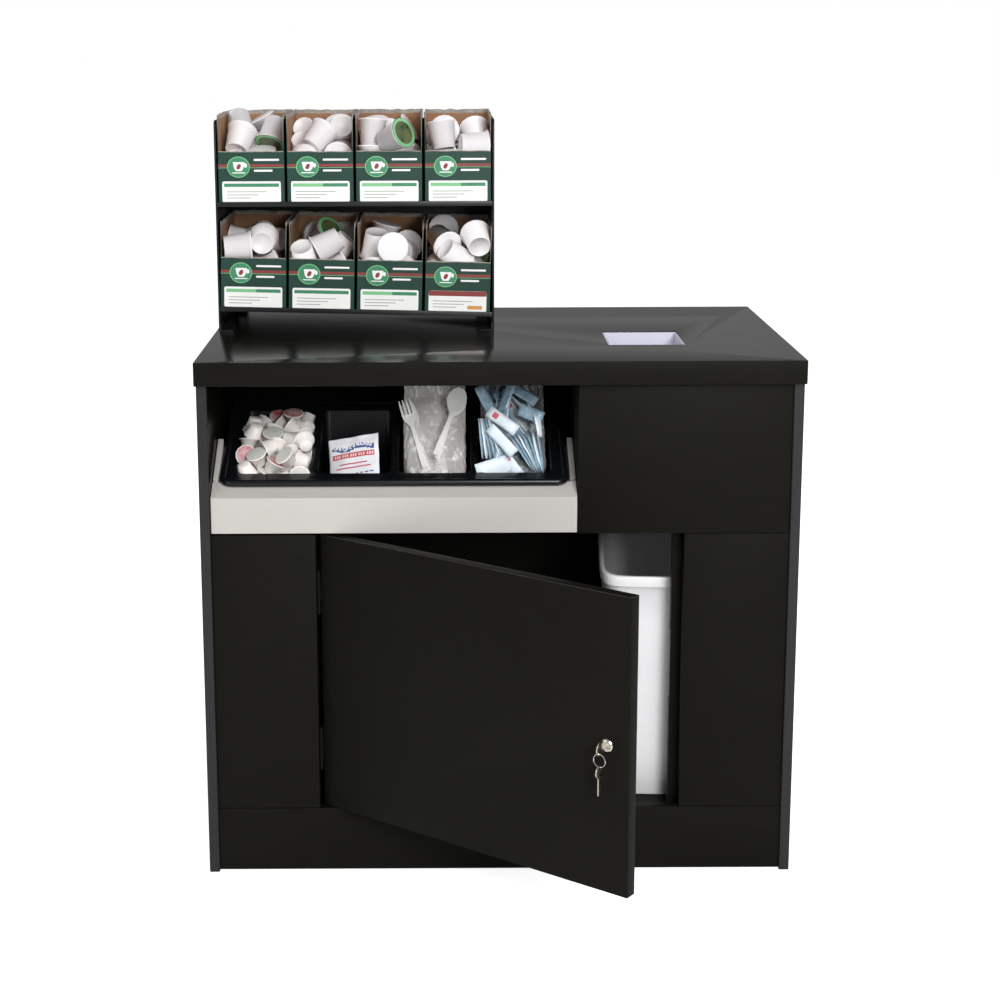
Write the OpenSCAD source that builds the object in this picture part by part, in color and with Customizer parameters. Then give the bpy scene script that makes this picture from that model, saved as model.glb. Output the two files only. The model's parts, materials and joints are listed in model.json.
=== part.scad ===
// Coffee station cabinet: black laminate base with a pull-out condiment bin, a lockable door,
// a waste chute over a wastebasket, and a two-tier rack of open pod cartons on the countertop.
// Millimetres, +Z up, -Y is the front. The origin is on the floor, at the middle of the footprint.
// The door is drawn part open, with its key in the lock.

/* [Cabinet] */
// Width of the countertop
top_w = 914.4; // [914.4:0.1:960]
// Depth of the countertop, front to back
top_d = 558.8; // [555:0.1:600]
// Height of the countertop surface above the floor
top_h = 812.8; // [805:0.1:840]
// Thickness of the countertop
top_t = 36; // [32:1:40]
// How far the countertop stands in front of the side panels
front_overhang = 8; // [4:1:12]
// How far the countertop stands past each side panel
side_overhang = 2.5; // [1:0.5:5]
// Thickness of the cabinet boards
board_t = 16; // [15:0.5:18]
// Thickness of the back panel
back_t = 6; // [4:1:9]
// Thickness of the shelf under the condiment bin
shelf_t = 6; // [4:1:9]
// How far the front boards sit behind the side panels' front edges
panel_inset = 4; // [2:0.5:6]
// Thickness of the rounded band on each side panel's front edge
band_t = 3; // [2:0.5:4]
// Visible seam between neighbouring front boards
seam = 0.8; // [0.4:0.1:1.2]
// Height of the toe rail's top edge
rail_top = 105; // [100:1:110]
// Height of the cabinet floor's upper face
floor_z = 88; // [80:1:95]
// Height of the condiment bay, from the lower front boards to the countertop
bay_h = 231.8; // [225:0.1:240]

/* [Door] */
// Width of the door opening
open_w = 560; // [550:1:565]
// How far the door's face sits behind the front boards
door_recess = 13.5; // [12:0.5:14.5]
// Thickness of the door
door_t = 19; // [18:0.5:20]
// Clearance round the door's free edges
door_gap = 2; // [1.5:0.5:3]
// Angle at which the door stands open
door_angle = 37; // [0:1:100]
// Outer radius of the hinge knuckles
knuckle_r = 2.5; // [2.3:0.1:2.6]
// Radius of the hinge pins
pin_r = 1.3; // [1.1:0.1:1.5]
// Height of each hinge
hinge_h = 64; // [50:1:76]
// Distance from the door's top and bottom edges to the hinges
hinge_inset = 60; // [45:1:90]

/* [Lock] */
// Distance from the door's free edge to the lock
lock_inset = 36; // [34:1:38]
// Diameter of the lock's head
lock_head_d = 19; // [18:0.5:22]
// Diameter of the lock's body through the door
lock_body_d = 16; // [15:0.5:16]
// Diameter of the turning plug
plug_d = 11; // [10:0.5:12]
// Reach of the cam from the lock's axis to its tip
cam_reach = 32; // [30:0.5:33]
// Middle radius of the split ring
ring_r = 9.5; // [9:0.5:11]

/* [Condiment bin] */
// Height of the fascia's front face
fascia_h = 55; // [50:1:58]
// Slope of the bezel above the fascia, in degrees
bezel_slope = 30; // [28:1:32]
// Tilt of the condiment tray, in degrees
tray_tilt = 20; // [18:1:21]
// Width of the grey strip on each side of the tray
strip_w = 8.65; // [8:0.05:9.5]
// Width of the tray's flange beside the outer wells
flange_w = 26.1; // [24:0.1:28]
// Width of the rib between two wells
rib_w = 11.6; // [10:0.1:14]
// Plan radius of the wells' corners
well_r = 12; // [8:1:16]
// Room behind the bin
bin_back_gap = 40.8; // [30:0.1:80]

/* [Waste] */
// Width of the waste hole
hole_w = 120; // [110:1:124]
// Depth of the waste hole, front to back
hole_d = 128; // [115:1:132]
// Distance of the hole's middle to the right of the cabinet's middle
hole_x = 234; // [228:1:238]
// Distance of the hole's middle behind the side panels' front edges
hole_y = 206; // [200:1:212]
// Distance from the wastebasket's rim to the right-hand side panel
basket_side_gap = 16.3; // [14:0.1:22]
// Room between the wastebasket's rim and the shelf above it
basket_air = 84; // [70:1:100]
// Angle at which the wastebasket stands turned, in degrees
basket_yaw = 4; // [0:0.5:5]

/* [Rack and cartons] */
// Distance from the countertop's left edge to the rack
rack_inset = 4.2; // [2:0.1:8]
// Depth of the rack, front to back
rack_d = 245; // [235:1:245]
// Height of the rack's side plates
rack_h = 342; // [338:1:360]
// Thickness of the rack's side plates
plate_t = 3; // [2:0.5:3]
// Height of the upper shelf above the countertop
shelf_up_z = 205; // [204:1:212]
// Height of the lower shelf's left end above the countertop
shelf_low_z = 34; // [30:1:36]
// How much lower the lower shelf's right end sits
shelf_drop = 11; // [0:1:12]
// Height of the lip along each shelf's front edge above the shelf
lip_h = 6; // [4:1:8]
// Width of a pod carton
carton_w = 107; // [100:1:107]
// Gap between neighbouring cartons
carton_gap = 4.625; // [4.5:0.125:5]
// Depth of a pod carton
carton_d = 200; // [180:1:205]
// Height of a pod carton's sides and back
carton_h = 147; // [140:1:148]
// Height of a pod carton's cut-down front
carton_front_h = 88; // [70:1:100]

/* [Hidden] */

$fn = 48;
eps = 1;

black = "#262524";
black_edge = "#3a3938";
light_grey = "#c4c1bb";
white = "#eceaea";
steel = "#b9b9b6";
sheet_black = "#1d1e1f";
carton_green = "#24483d";

// Cabinet places
side_x = top_w / 2 - side_overhang;
in_x = side_x - board_t;
under_z = top_h - top_t;
mid_z = under_z - bay_h;
front_y = panel_inset;
rear_y = front_y + board_t;
top_back = top_d - front_overhang;
back_overhang = 4;
cab_back = top_back - back_overhang;
inner_back = cab_back - back_t;
rail_lift = 2.5;
part_x = 118;
open_x = open_w / 2;

// Door places, closed, measured from the hinge pin
hinge_gap = 6;
face_y = front_y + door_recess;
pin_x = -open_x + knuckle_r + 0.25;
pin_y = face_y - knuckle_r - 0.2;
door_x0 = -open_x + hinge_gap - pin_x;
door_y0 = face_y - pin_y;
door_w = open_w - hinge_gap - door_gap;
door_z0 = rail_top + door_gap;
door_z1 = mid_z - door_gap;
door_h = door_z1 - door_z0;
leaf_t = 1.2;
pin_fit = 0.1;
hinge_low = door_z0 + hinge_inset;
hinge_high = door_z1 - hinge_inset - hinge_h;
stop_y = face_y + door_t + 0.5;
batten_w = 20;
batten_back = 50;
strip_face = 14;
lip_t = 3;
lip_y = stop_y + lip_t;
strike_t = 1;
lock_room = 55;

// Lock places, in the door's frame
lock_x = door_x0 + door_w - lock_inset;
lock_z = (door_z0 + door_z1) / 2;
nut_t = 3;
lock_seat = 0.05;
cam_t = 2;
cam_y = door_y0 + door_t + nut_t + 1.8;
key_t = 1.8;
bow_r = 11;
spare_bow_r = 9.5;
hang_y = -17;
hang_z = -7;
wire_r = 0.9;
hole_r = 1.1;
spare_z = hang_z - 2 * ring_r;

// Condiment bin places
bay_half = (part_x + in_x) / 2;
bay_x = part_x - bay_half;
bin_half = bay_half - 1.35;
slide_t = 12.7;
box_half = bay_half - slide_t;
box_t = 12;
box_h = 98;
fascia_z0 = mid_z + 3;
fascia_z1 = fascia_z0 + fascia_h;
bin_z0 = fascia_z0 + 4;
bin_floor_t = 6;
bin_back_y = inner_back - bin_back_gap;
rail_z0 = fascia_z1 - 3;
rail_d = 20;
rail_y1 = rear_y + rail_d;
rail_crest = 14;
rail_drop = 8;
cheek_y1 = 120;
strip_h = 4;
tray_fit = 0.85;
tray_half = bin_half - strip_w - tray_fit;
rim_r = 6;
rim_corner = 16;
tray_y = 25.5;
tray_rise = 18.36;
tray_z = fascia_z1 + tray_rise;
tray_d = 229.8;
rim_flat = 3;
flange_t = 4;
well_w = (2 * tray_half - 2 * flange_w - 3 * rib_w) / 4;
well_pitch = well_w + rib_w;
well_y0 = 43;
well_d = 172;
well_z = fascia_z0 + 18;
wall = 3;
slide_z0 = fascia_z0 + 10;
slide_h = 36;
slide_set = 4;
slide_back_gap = 16.8;
slide_len = inner_back - slide_back_gap - rear_y - slide_set;
slide_lip = 8;
slide_fit = 2.2;

// Waste places
basket_h = mid_z - shelf_t - floor_z - basket_air;
chute_z = mid_z - shelf_t - 27;
chute_wall = 2.5;
basket_w = 250;
basket_d = 362;
basket_x = in_x - basket_side_gap - basket_w / 2;
basket_y = 253.5;
basket_rim = 5;
basket_rim_h = 17;
basket_wall = 2.5;
basket_taper = 8;
basket_bow = 5;

// Rack places
carton_wall = 1.2;
carton_pitch = carton_w + carton_gap;
carton_seat = 0.05;
bay_w = 4 * carton_pitch;
rack_x0 = rack_inset - top_w / 2;
rack_x1 = rack_x0 + bay_w + 2 * plate_t;
rack_y1 = top_back - 5.8;
rack_y0 = rack_y1 - rack_d;
sheet_t = 2;
shelf_tilt = atan(shelf_drop / bay_w);

// The footprint's middle, so that the origin sits under it
door_far_y = pin_y - (door_x0 + door_w) * sin(door_angle) + door_y0 * cos(door_angle);
key_far_y = pin_y - (lock_x + key_t / 2) * sin(door_angle) + (hang_y - spare_bow_r) * cos(door_angle);
y_mid = (min(-front_overhang, door_far_y, key_far_y) + top_back) / 2;

// Moves cabinet places to the part's frame
module placed() { translate([0, -y_mid, 0]) children(); }

// A box between two corners
module span(a, b) { translate(a) cube(b - a); }

// A side view (y, z) extruded from x0 to x1
module side_view(points, x0, x1) {
    translate([x0, 0, 0]) rotate([90, 0, 90]) linear_extrude(x1 - x0) polygon(points);
}

// An upright prism with rounded corners
module rounded(w, d, h, r) {
    translate([-w / 2 + r, -d / 2, 0]) cube([w - 2 * r, d, h]);
    translate([-w / 2, -d / 2 + r, 0]) cube([w, d - 2 * r, h]);
    for (sx = [-1, 1], sy = [-1, 1])
        translate([sx * (w / 2 - r), sy * (d / 2 - r), 0]) cylinder(r = r, h = h);
}

module countertop() {
    color(black) placed() difference() {
        translate([0, top_d / 2 - front_overhang, under_z]) rounded(top_w, top_d, top_t, 4);
        translate([hole_x - hole_w / 2, hole_y - hole_d / 2, under_z - eps])
            cube([hole_w, hole_d, top_t + 2 * eps]);
    }
}

module side_panel(sx) {
    color(black) placed() span([min(sx * in_x, sx * side_x), band_t, 0],
        [max(sx * in_x, sx * side_x), cab_back, under_z]);
}
module side_panel_left() { side_panel(-1); }
module side_panel_right() { side_panel(1); }

// Half-rounded lipping on a side panel's front edge
module edge_band(sx) {
    r = band_t - 0.5;
    color(black_edge) placed() translate([sx * (side_x - board_t / 2), 0, 0]) {
        translate([-board_t / 2 + r, 0, 0]) cube([board_t - 2 * r, band_t, under_z]);
        intersection() {
            translate([-board_t / 2, 0, 0]) cube([board_t, band_t, under_z]);
            union() {
                for (s = [-1, 1]) translate([s * (board_t / 2 - r), r, 0]) cylinder(r = r, h = under_z);
                translate([-board_t / 2, r, 0]) cube([board_t, band_t - r, under_z]);
            }
        }
    }
}
module edge_band_left() { edge_band(-1); }
module edge_band_right() { edge_band(1); }

module bottom_panel() {
    color(black) placed() span([-in_x, rear_y, floor_z - board_t], [in_x, inner_back, floor_z]);
}

module back_panel() {
    color(black) placed() span([-in_x, inner_back, rail_lift], [in_x, cab_back, under_z]);
}

module toe_rail() {
    color(black) placed() span([-in_x, front_y, rail_lift], [in_x, rear_y, rail_top - seam]);
}

module lower_panel_left() {
    color(black) placed() span([-in_x, front_y, rail_top], [-open_x, rear_y, mid_z]);
}

module lower_panel_right() {
    color(black) placed() span([open_x, front_y, rail_top], [in_x, rear_y, mid_z]);
}

module false_front() {
    color(black) placed() span([part_x, front_y, mid_z + seam], [in_x, rear_y, under_z]);
}

module bay_partition() {
    color(black) placed() span([part_x, rear_y, mid_z], [part_x + board_t, inner_back, under_z]);
}

// The thin shelf under the condiment bin, cut out round the chute
module bay_shelf() {
    air = 6;
    color(black) placed() difference() {
        span([-in_x, stop_y + 0.5, mid_z - shelf_t], [in_x, inner_back, mid_z]);
        translate([hole_x - hole_w / 2 - air, hole_y - hole_d / 2 - air, mid_z - shelf_t - eps])
            cube([hole_w + 2 * air, hole_d + 2 * air, shelf_t + 2 * eps]);
    }
}

module waste_chute() {
    z1 = top_h - 1;
    color(white) placed() translate([hole_x, hole_y, chute_z]) difference() {
        translate([-hole_w / 2, -hole_d / 2, 0]) cube([hole_w, hole_d, z1 - chute_z]);
        translate([-hole_w / 2 + chute_wall, -hole_d / 2 + chute_wall, -eps])
            cube([hole_w - 2 * chute_wall, hole_d - 2 * chute_wall, z1 - chute_z + 2 * eps]);
    }
}

module hinge_batten() {
    color(black) placed()
        span([-open_x - batten_w, rear_y, floor_z], [-open_x, batten_back, mid_z - shelf_t]);
}

module stop_batten() {
    color(black) placed()
        span([open_x, rear_y, floor_z], [open_x + batten_w, batten_back, mid_z - shelf_t]);
}

module stop_strip(y1, z0, z1) {
    color(black) placed() span([open_x - strip_face, stop_y, z0], [open_x, y1, z1]);
}

// The upper strip runs on as a thin lip past the lock, where the cam turns behind it
module stop_strip_upper() {
    stop_strip(batten_back, lock_z + lock_room, mid_z - shelf_t);
    stop_strip(lip_y, lock_z - lock_room, lock_z + lock_room);
}
module stop_strip_lower() { stop_strip(batten_back, floor_z, lock_z - lock_room); }

// Angle that the cam turns behind
module strike_plate() {
    half = 25;
    color(sheet_black) placed() {
        span([open_x - strip_face, lip_y, lock_z - half], [open_x, lip_y + strike_t, lock_z + half]);
        span([open_x - strike_t, lip_y, lock_z - half], [open_x, batten_back, lock_z + half]);
    }
}

// Knuckles of one hinge at the given heights, bored for the pin
module knuckles(z, parts) {
    for (i = parts) translate([0, 0, z + i * hinge_h / 3]) difference() {
        cylinder(r = knuckle_r, h = hinge_h / 3 - (i == 2 ? 0 : 0.3));
        translate([0, 0, -eps]) cylinder(r = pin_r + pin_fit, h = hinge_h / 3 + 2 * eps);
    }
}

module at_hinge() { placed() translate([pin_x, pin_y, 0]) children(); }

module hinge_frame_leaves() {
    x0 = -open_x - pin_x;
    color(sheet_black) at_hinge() for (z = [hinge_low, hinge_high]) {
        knuckles(z, [0, 2]);
        for (i = [0, 2]) translate([x0, 0, z + i * hinge_h / 3]) difference() {
            cube([leaf_t, batten_back - pin_y, hinge_h / 3 - (i == 2 ? 0 : 0.3)]);
            translate([-x0, 0, -eps]) cylinder(r = pin_r + pin_fit, h = hinge_h);
        }
        translate([x0, door_y0, z]) cube([leaf_t, batten_back - face_y, hinge_h]);
    }
}

module hinge_pins() {
    color(sheet_black) at_hinge() for (z = [hinge_low, hinge_high]) {
        translate([0, 0, z - 1]) cylinder(r = pin_r, h = hinge_h + 2);
        for (s = [z - 2, z + hinge_h]) translate([0, 0, s]) cylinder(r = knuckle_r - 0.2, h = 2);
    }
}

// Turns the door's parts from closed to the angle at which the door stands
module in_door() { at_hinge() rotate([0, 0, -door_angle]) children(); }

module door_panel() {
    color(black) in_door() difference() {
        translate([door_x0, door_y0, door_z0]) cube([door_w, door_t, door_h]);
        translate([lock_x, door_y0 - eps, lock_z]) rotate([-90, 0, 0])
            cylinder(d = lock_body_d + 0.3, h = door_t + 2 * eps);
    }
}

module hinge_door_leaves() {
    mid = hinge_h / 3;
    color(sheet_black) in_door() for (z = [hinge_low, hinge_high]) {
        knuckles(z, [1]);
        translate([0, 0, z + mid]) difference() {
            cube([door_x0, leaf_t, mid - 0.3]);
            translate([0, 0, -eps]) cylinder(r = pin_r + pin_fit, h = hinge_h);
        }
        translate([door_x0 - leaf_t, 0, z + mid]) cube([leaf_t, door_y0 + 1, mid - 0.3]);
        translate([door_x0 - leaf_t, door_y0 + 0.3, z]) cube([leaf_t, door_t - 0.6, hinge_h]);
    }
}

// The lock's frame: +Y runs into the door, and Z = 0 is the lock's axis
module in_lock() { in_door() translate([lock_x, 0, lock_z]) children(); }
module along_y(y) { translate([0, y, 0]) rotate([-90, 0, 0]) children(); }

module lock_housing() {
    head_t = 3;
    bevel = 1.2;
    color(steel) in_lock() difference() {
        union() {
            along_y(door_y0 - lock_seat - head_t)
                cylinder(d1 = lock_head_d - 2 * bevel, d2 = lock_head_d, h = bevel, $fn = 64);
            along_y(door_y0 - lock_seat - head_t + bevel)
                cylinder(d = lock_head_d, h = head_t - bevel, $fn = 64);
            along_y(door_y0 - 0.5) cylinder(d = lock_body_d, h = cam_y - door_y0 - 0.2);
        }
        along_y(-10) cylinder(d = plug_d + 0.2, h = 60);
    }
}

module lock_nut() {
    color(steel) in_lock() along_y(door_y0 + door_t + lock_seat) difference() {
        cylinder(d = lock_body_d + 7, h = nut_t, $fn = 6);
        translate([0, 0, -eps]) cylinder(d = lock_body_d, h = nut_t + 2 * eps);
    }
}

// Turning plug with its keyway
module lock_plug() {
    color(steel) in_lock() difference() {
        along_y(door_y0 - 3.6) cylinder(d = plug_d, h = cam_y - door_y0 + 3.6);
        translate([-key_t / 2 - 0.1, door_y0 - 5, -3.2]) cube([key_t + 0.2, 22, 6.4]);
    }
}

// A flat key in the Y-Z plane: its round bow at the origin, and its blade along +Y
module flat_key(bow, blade, hole) {
    shoulder = 1.8;
    rotate([0, 90, 0]) translate([0, 0, -key_t / 2]) difference() {
        union() {
            cylinder(r = bow, h = key_t);
            translate([-3.5, 0, 0]) cube([7, bow + shoulder, key_t]);
            translate([-3, 0, 0]) cube([6, bow + blade, key_t]);
        }
        translate([-hole[1], hole[0], -eps]) cylinder(r = hole_r, h = key_t + 2 * eps);
    }
}

module lock_key() {
    bow_y = hang_y + 3;
    color(steel) in_lock() translate([0, bow_y, 0])
        flat_key(bow_r, door_y0 + 17 - bow_y - bow_r, [hang_y - bow_y, hang_z]);
}

// Locking lever and its bolt, hanging down while the lock is open
module lock_cam() {
    color(steel) in_lock() {
        along_y(cam_y) cylinder(r = 7, h = cam_t);
        translate([-6, cam_y, -cam_reach]) cube([12, cam_t, cam_reach]);
        along_y(cam_y + cam_t) cylinder(r = 4, h = 3, $fn = 6);
    }
}

module key_ring() {
    color(steel) in_lock() translate([0, hang_y, hang_z - ring_r]) rotate([90, 0, 0])
        rotate_extrude($fn = 64) translate([ring_r, 0]) circle(r = wire_r, $fn = 24);
}

module spare_key() {
    drop = spare_bow_r - 2.5;
    color(steel) in_lock() translate([0, hang_y, spare_z - drop]) rotate([-90, 0, 0])
        flat_key(spare_bow_r, 25, [-drop, 0]);
}

// A place on the bezel's slope, and on the plane that carries the tray
function slope_z(y) = fascia_z1 + (y - front_y) * tan(bezel_slope);
function tray_seat(y) = tray_z + (y - tray_y) * tan(tray_tilt) - rim_flat / cos(tray_tilt);

module in_bay() { placed() translate([bay_x, 0, 0]) children(); }

module bin_fascia() {
    color(light_grey) in_bay() side_view([[front_y, fascia_z0], [rear_y, fascia_z0],
        [rear_y, slope_z(rear_y)], [front_y, fascia_z1]], -bin_half, bin_half);
}

module bin_rail() {
    y1 = rear_y + rail_crest;
    color(light_grey) in_bay() side_view([[rear_y, rail_z0], [rail_y1, rail_z0],
        [rail_y1, slope_z(y1) - rail_drop], [y1, slope_z(y1)], [rear_y, slope_z(rear_y)]],
        -bin_half, bin_half);
}

// Upright board beside the tray, with the spacer that fixes it to the bin's side
module bin_cheek(sx) {
    x_in = bin_half - strip_w;
    spacer_h = 12;
    color(light_grey) in_bay() {
        side_view([[rail_y1, rail_z0], [cheek_y1, rail_z0], [cheek_y1, slope_z(cheek_y1) - strip_h],
            [rail_y1, slope_z(rail_y1) - strip_h]],
            sx > 0 ? x_in : -bin_half, sx > 0 ? bin_half : -x_in);
        span([sx > 0 ? box_half : -x_in - 1, rail_y1, rail_z0],
            [sx > 0 ? x_in + 1 : -box_half, cheek_y1, rail_z0 + spacer_h]);
    }
}
module bin_cheek_left() { bin_cheek(-1); }
module bin_cheek_right() { bin_cheek(1); }

// Sloping strips on top of the cheeks, one on each side of the tray
module bin_bezel_strips() {
    for (x0 = [-bin_half, bin_half - strip_w]) color(light_grey) in_bay()
        side_view([[rail_y1, slope_z(rail_y1) - strip_h], [cheek_y1, slope_z(cheek_y1) - strip_h],
            [cheek_y1, slope_z(cheek_y1)], [rail_y1, slope_z(rail_y1)]], x0, x0 + strip_w);
}

module bin_side(sx) {
    y2 = tray_y + tray_d - 5;
    slant = 20;
    z1 = bin_z0 + box_h;
    color(black) in_bay() side_view([[rear_y, bin_z0], [bin_back_y, bin_z0], [bin_back_y, z1],
        [y2 + slant, z1], [y2, tray_seat(y2)], [rail_y1, tray_seat(rail_y1)],
        [rail_y1, rail_z0], [rear_y, rail_z0]],
        sx > 0 ? box_half - box_t : -box_half, sx > 0 ? box_half : -box_half + box_t);
}
module bin_side_left() { bin_side(-1); }
module bin_side_right() { bin_side(1); }

module bin_floor() {
    half = box_half - box_t;
    color(black) in_bay() span([-half, rear_y, bin_z0], [half, bin_back_y, bin_z0 + bin_floor_t]);
}

module bin_back() {
    half = box_half - box_t;
    color(black) in_bay() span([-half, bin_back_y - box_t, bin_z0 + bin_floor_t],
        [half, bin_back_y, bin_z0 + box_h]);
}

// The tray's own frame: X across, Y up the tilt, Z square to the flange
module in_tray() {
    in_bay() translate([0, tray_y, tray_z]) rotate([tray_tilt, 0, 0]) children();
}

// Rolled rim round the tray's flange
module tray_rim() {
    half = tray_half - rim_r;
    r = rim_corner;
    for (y = [0, tray_d]) translate([-half + r, y, 0]) rotate([0, 90, 0])
        cylinder(r = rim_r, h = 2 * (half - r));
    for (s = [-1, 1]) translate([s * half, r, 0]) rotate([-90, 0, 0])
        cylinder(r = rim_r, h = tray_d - 2 * r);
    for (s = [-1, 1], e = [0, 1]) translate([s * (half - r), e == 0 ? r : tray_d - r, 0])
        rotate([0, 0, e == 0 ? (s > 0 ? 270 : 180) : (s > 0 ? 0 : 90)])
            rotate_extrude(angle = 90) translate([r, 0]) circle(r = rim_r);
}

// Upright prisms at the four wells, grown by g at the sides and let down by g at the bottom
module wells(g, top) {
    for (i = [-1.5:1:1.5]) translate([i * well_pitch, well_y0 + well_d / 2, well_z - g])
        rounded(well_w + 2 * g, well_d + 2 * g, top - well_z + g, well_r + g);
}

// The glossy tray: the part of the build that takes the most care. Its flange is tilted,
// its rim is rolled, and its four wells are upright with level bottoms.
module condiment_tray() {
    half = tray_half - rim_r;
    r = rim_corner;
    color(sheet_black) difference() {
        union() {
            intersection() {
                in_tray() {
                    tray_rim();
                    translate([0, tray_d / 2, -rim_flat])
                        rounded(2 * half, tray_d, rim_flat + flange_t, r);
                }
                in_tray() translate([-tray_half - eps, -2 * rim_r, -rim_flat])
                    cube([2 * tray_half + 2 * eps, tray_d + 4 * rim_r, 4 * rim_r]);
            }
            intersection() {
                in_bay() wells(wall, under_z);
                in_tray() translate([-tray_half, -tray_d, flange_t - tray_d])
                    cube([2 * tray_half, 3 * tray_d, tray_d]);
            }
        }
        in_bay() wells(0, under_z + rim_r);
    }
}

// Fixed half of a drawer slide: a channel that opens towards the bin
module slide_outer(sx) {
    t = 1.5;
    color(steel) in_bay() mirror([sx > 0 ? 0 : 1, 0, 0]) {
        y0 = rear_y + slide_set;
        span([bay_half - t, y0, slide_z0], [bay_half, y0 + slide_len, slide_z0 + slide_h]);
        for (z = [slide_z0, slide_z0 + slide_h - t])
            span([bay_half - slide_lip, y0, z], [bay_half, y0 + slide_len, z + t]);
    }
}
module slide_outer_left() { slide_outer(-1); }
module slide_outer_right() { slide_outer(1); }

// Moving half of a drawer slide: a channel inside the fixed one
module slide_inner(sx) {
    t = 1.5;
    z0 = slide_z0 + slide_fit;
    z1 = slide_z0 + slide_h - slide_fit;
    y0 = rear_y + slide_set;
    y1 = bin_back_y - slide_set;
    color(steel) in_bay() mirror([sx > 0 ? 0 : 1, 0, 0]) {
        span([box_half, y0, z0], [box_half + t, y1, z1]);
        for (z = [z0, z1 - t]) span([box_half, y0, z], [box_half + slide_lip + 1, y1, z + t]);
    }
}
module slide_inner_left() { slide_inner(-1); }
module slide_inner_right() { slide_inner(1); }

// A slab whose four sides bow outwards and meet in round corners
function bowed(a) = sign(a) * pow(abs(a), 2 / basket_bow);
module bowed_slab(w, d, h) {
    linear_extrude(h) polygon([for (t = [0:9:351]) [w / 2 * bowed(cos(t)), d / 2 * bowed(sin(t))]]);
}

// A tapered tub, wider at the top
module tub(w, d, h) {
    hull() {
        bowed_slab(w - 2 * basket_taper, d - 2 * basket_taper, 1);
        translate([0, 0, h - 1]) bowed_slab(w, d, 1);
    }
}

module waste_basket() {
    t = basket_wall;
    w = basket_w - 2 * basket_rim;
    d = basket_d - 2 * basket_rim;
    color(white) placed() translate([basket_x, basket_y, floor_z]) rotate([0, 0, -basket_yaw]) {
        difference() {
            union() {
                tub(w, d, basket_h);
                translate([0, 0, basket_h - basket_rim_h]) bowed_slab(basket_w, basket_d, basket_rim_h);
            }
            translate([0, 0, t]) tub(w - 2 * t, d - 2 * t, basket_h + eps);
        }
    }
}

module rack_plate(x0) {
    r = 10;
    z1 = top_h + rack_h;
    color(sheet_black) placed() {
        span([x0, rack_y0, top_h], [x0 + plate_t, rack_y1, z1 - r]);
        span([x0, rack_y0 + r, z1 - r], [x0 + plate_t, rack_y1, z1]);
        translate([x0, rack_y0 + r, z1 - r]) rotate([0, 90, 0]) cylinder(r = r, h = plate_t);
    }
}
module rack_plate_left() { rack_plate(rack_x0); }
module rack_plate_right() { rack_plate(rack_x1 - plate_t); }

// Front view of a shelf that drops from left to right, drawn between z0 and z1 above its surface
module shelf_band(z0, z1, drop, y0, y1) {
    x0 = rack_x0 + plate_t;
    x1 = rack_x1 - plate_t;
    translate([0, y1, 0]) rotate([90, 0, 0]) linear_extrude(y1 - y0)
        polygon([[x0, z0], [x1, z0 - drop], [x1, z1 - drop], [x0, z1]]);
}

// A bent sheet with a lip along the front
module rack_shelf(z, drop) {
    color(sheet_black) placed() {
        shelf_band(z - sheet_t, z, drop, rack_y0, rack_y1 - sheet_t);
        shelf_band(z - sheet_t, z + lip_h, drop, rack_y0, rack_y0 + sheet_t);
    }
}
module rack_shelf_upper() { rack_shelf(top_h + shelf_up_z, 0); }
module rack_shelf_lower() { rack_shelf(top_h + shelf_low_z, shelf_drop); }

module rack_back() {
    color(sheet_black) placed() span([rack_x0 + plate_t, rack_y1 - sheet_t, top_h + 4],
        [rack_x1 - plate_t, rack_y1, top_h + rack_h - 8]);
}

// Angle feet in the rack's lower corners
module rack_feet() {
    leg = 22;
    t = 2;
    color(sheet_black) placed() for (y = [rack_y0 - 14, rack_y1 - 46]) {
        span([rack_x0 + plate_t, y, top_h], [rack_x0 + plate_t + leg, y + 44, top_h + t]);
        span([rack_x0 + plate_t, y, top_h], [rack_x0 + plate_t + t, y + 44, top_h + 12]);
        span([rack_x1 - plate_t - leg, y, top_h], [rack_x1 - plate_t, y + 44, top_h + t]);
        span([rack_x1 - plate_t - t, y, top_h], [rack_x1 - plate_t, y + 44, top_h + 12]);
    }
}

// An open pod carton with its front cut down; its corner is the lower left front
module carton() {
    w = carton_wall;
    difference() {
        cube([carton_w, carton_d, carton_h]);
        translate([w, w, w]) cube([carton_w - 2 * w, carton_d - 2 * w, carton_h]);
        translate([w, -eps, carton_front_h]) cube([carton_w - 2 * w, carton_d / 2, carton_h]);
    }
}

// Carton i (0 to 3) of a row that stands on a shelf at height z, tilted with it
module carton_in_row(i, z, tilt) {
    air = (carton_pitch - carton_w - carton_h * sin(tilt)) / 2;
    color(carton_green) placed() translate([rack_x0 + plate_t, rack_y0 + sheet_t + 1, z])
        rotate([0, tilt, 0]) translate([i * carton_pitch + air, 0, carton_seat]) carton();
}
module carton_upper_1() { carton_in_row(0, top_h + shelf_up_z, 0); }
module carton_upper_2() { carton_in_row(1, top_h + shelf_up_z, 0); }
module carton_upper_3() { carton_in_row(2, top_h + shelf_up_z, 0); }
module carton_upper_4() { carton_in_row(3, top_h + shelf_up_z, 0); }
module carton_lower_1() { carton_in_row(0, top_h + shelf_low_z, shelf_tilt); }
module carton_lower_2() { carton_in_row(1, top_h + shelf_low_z, shelf_tilt); }
module carton_lower_3() { carton_in_row(2, top_h + shelf_low_z, shelf_tilt); }
module carton_lower_4() { carton_in_row(3, top_h + shelf_low_z, shelf_tilt); }

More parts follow.
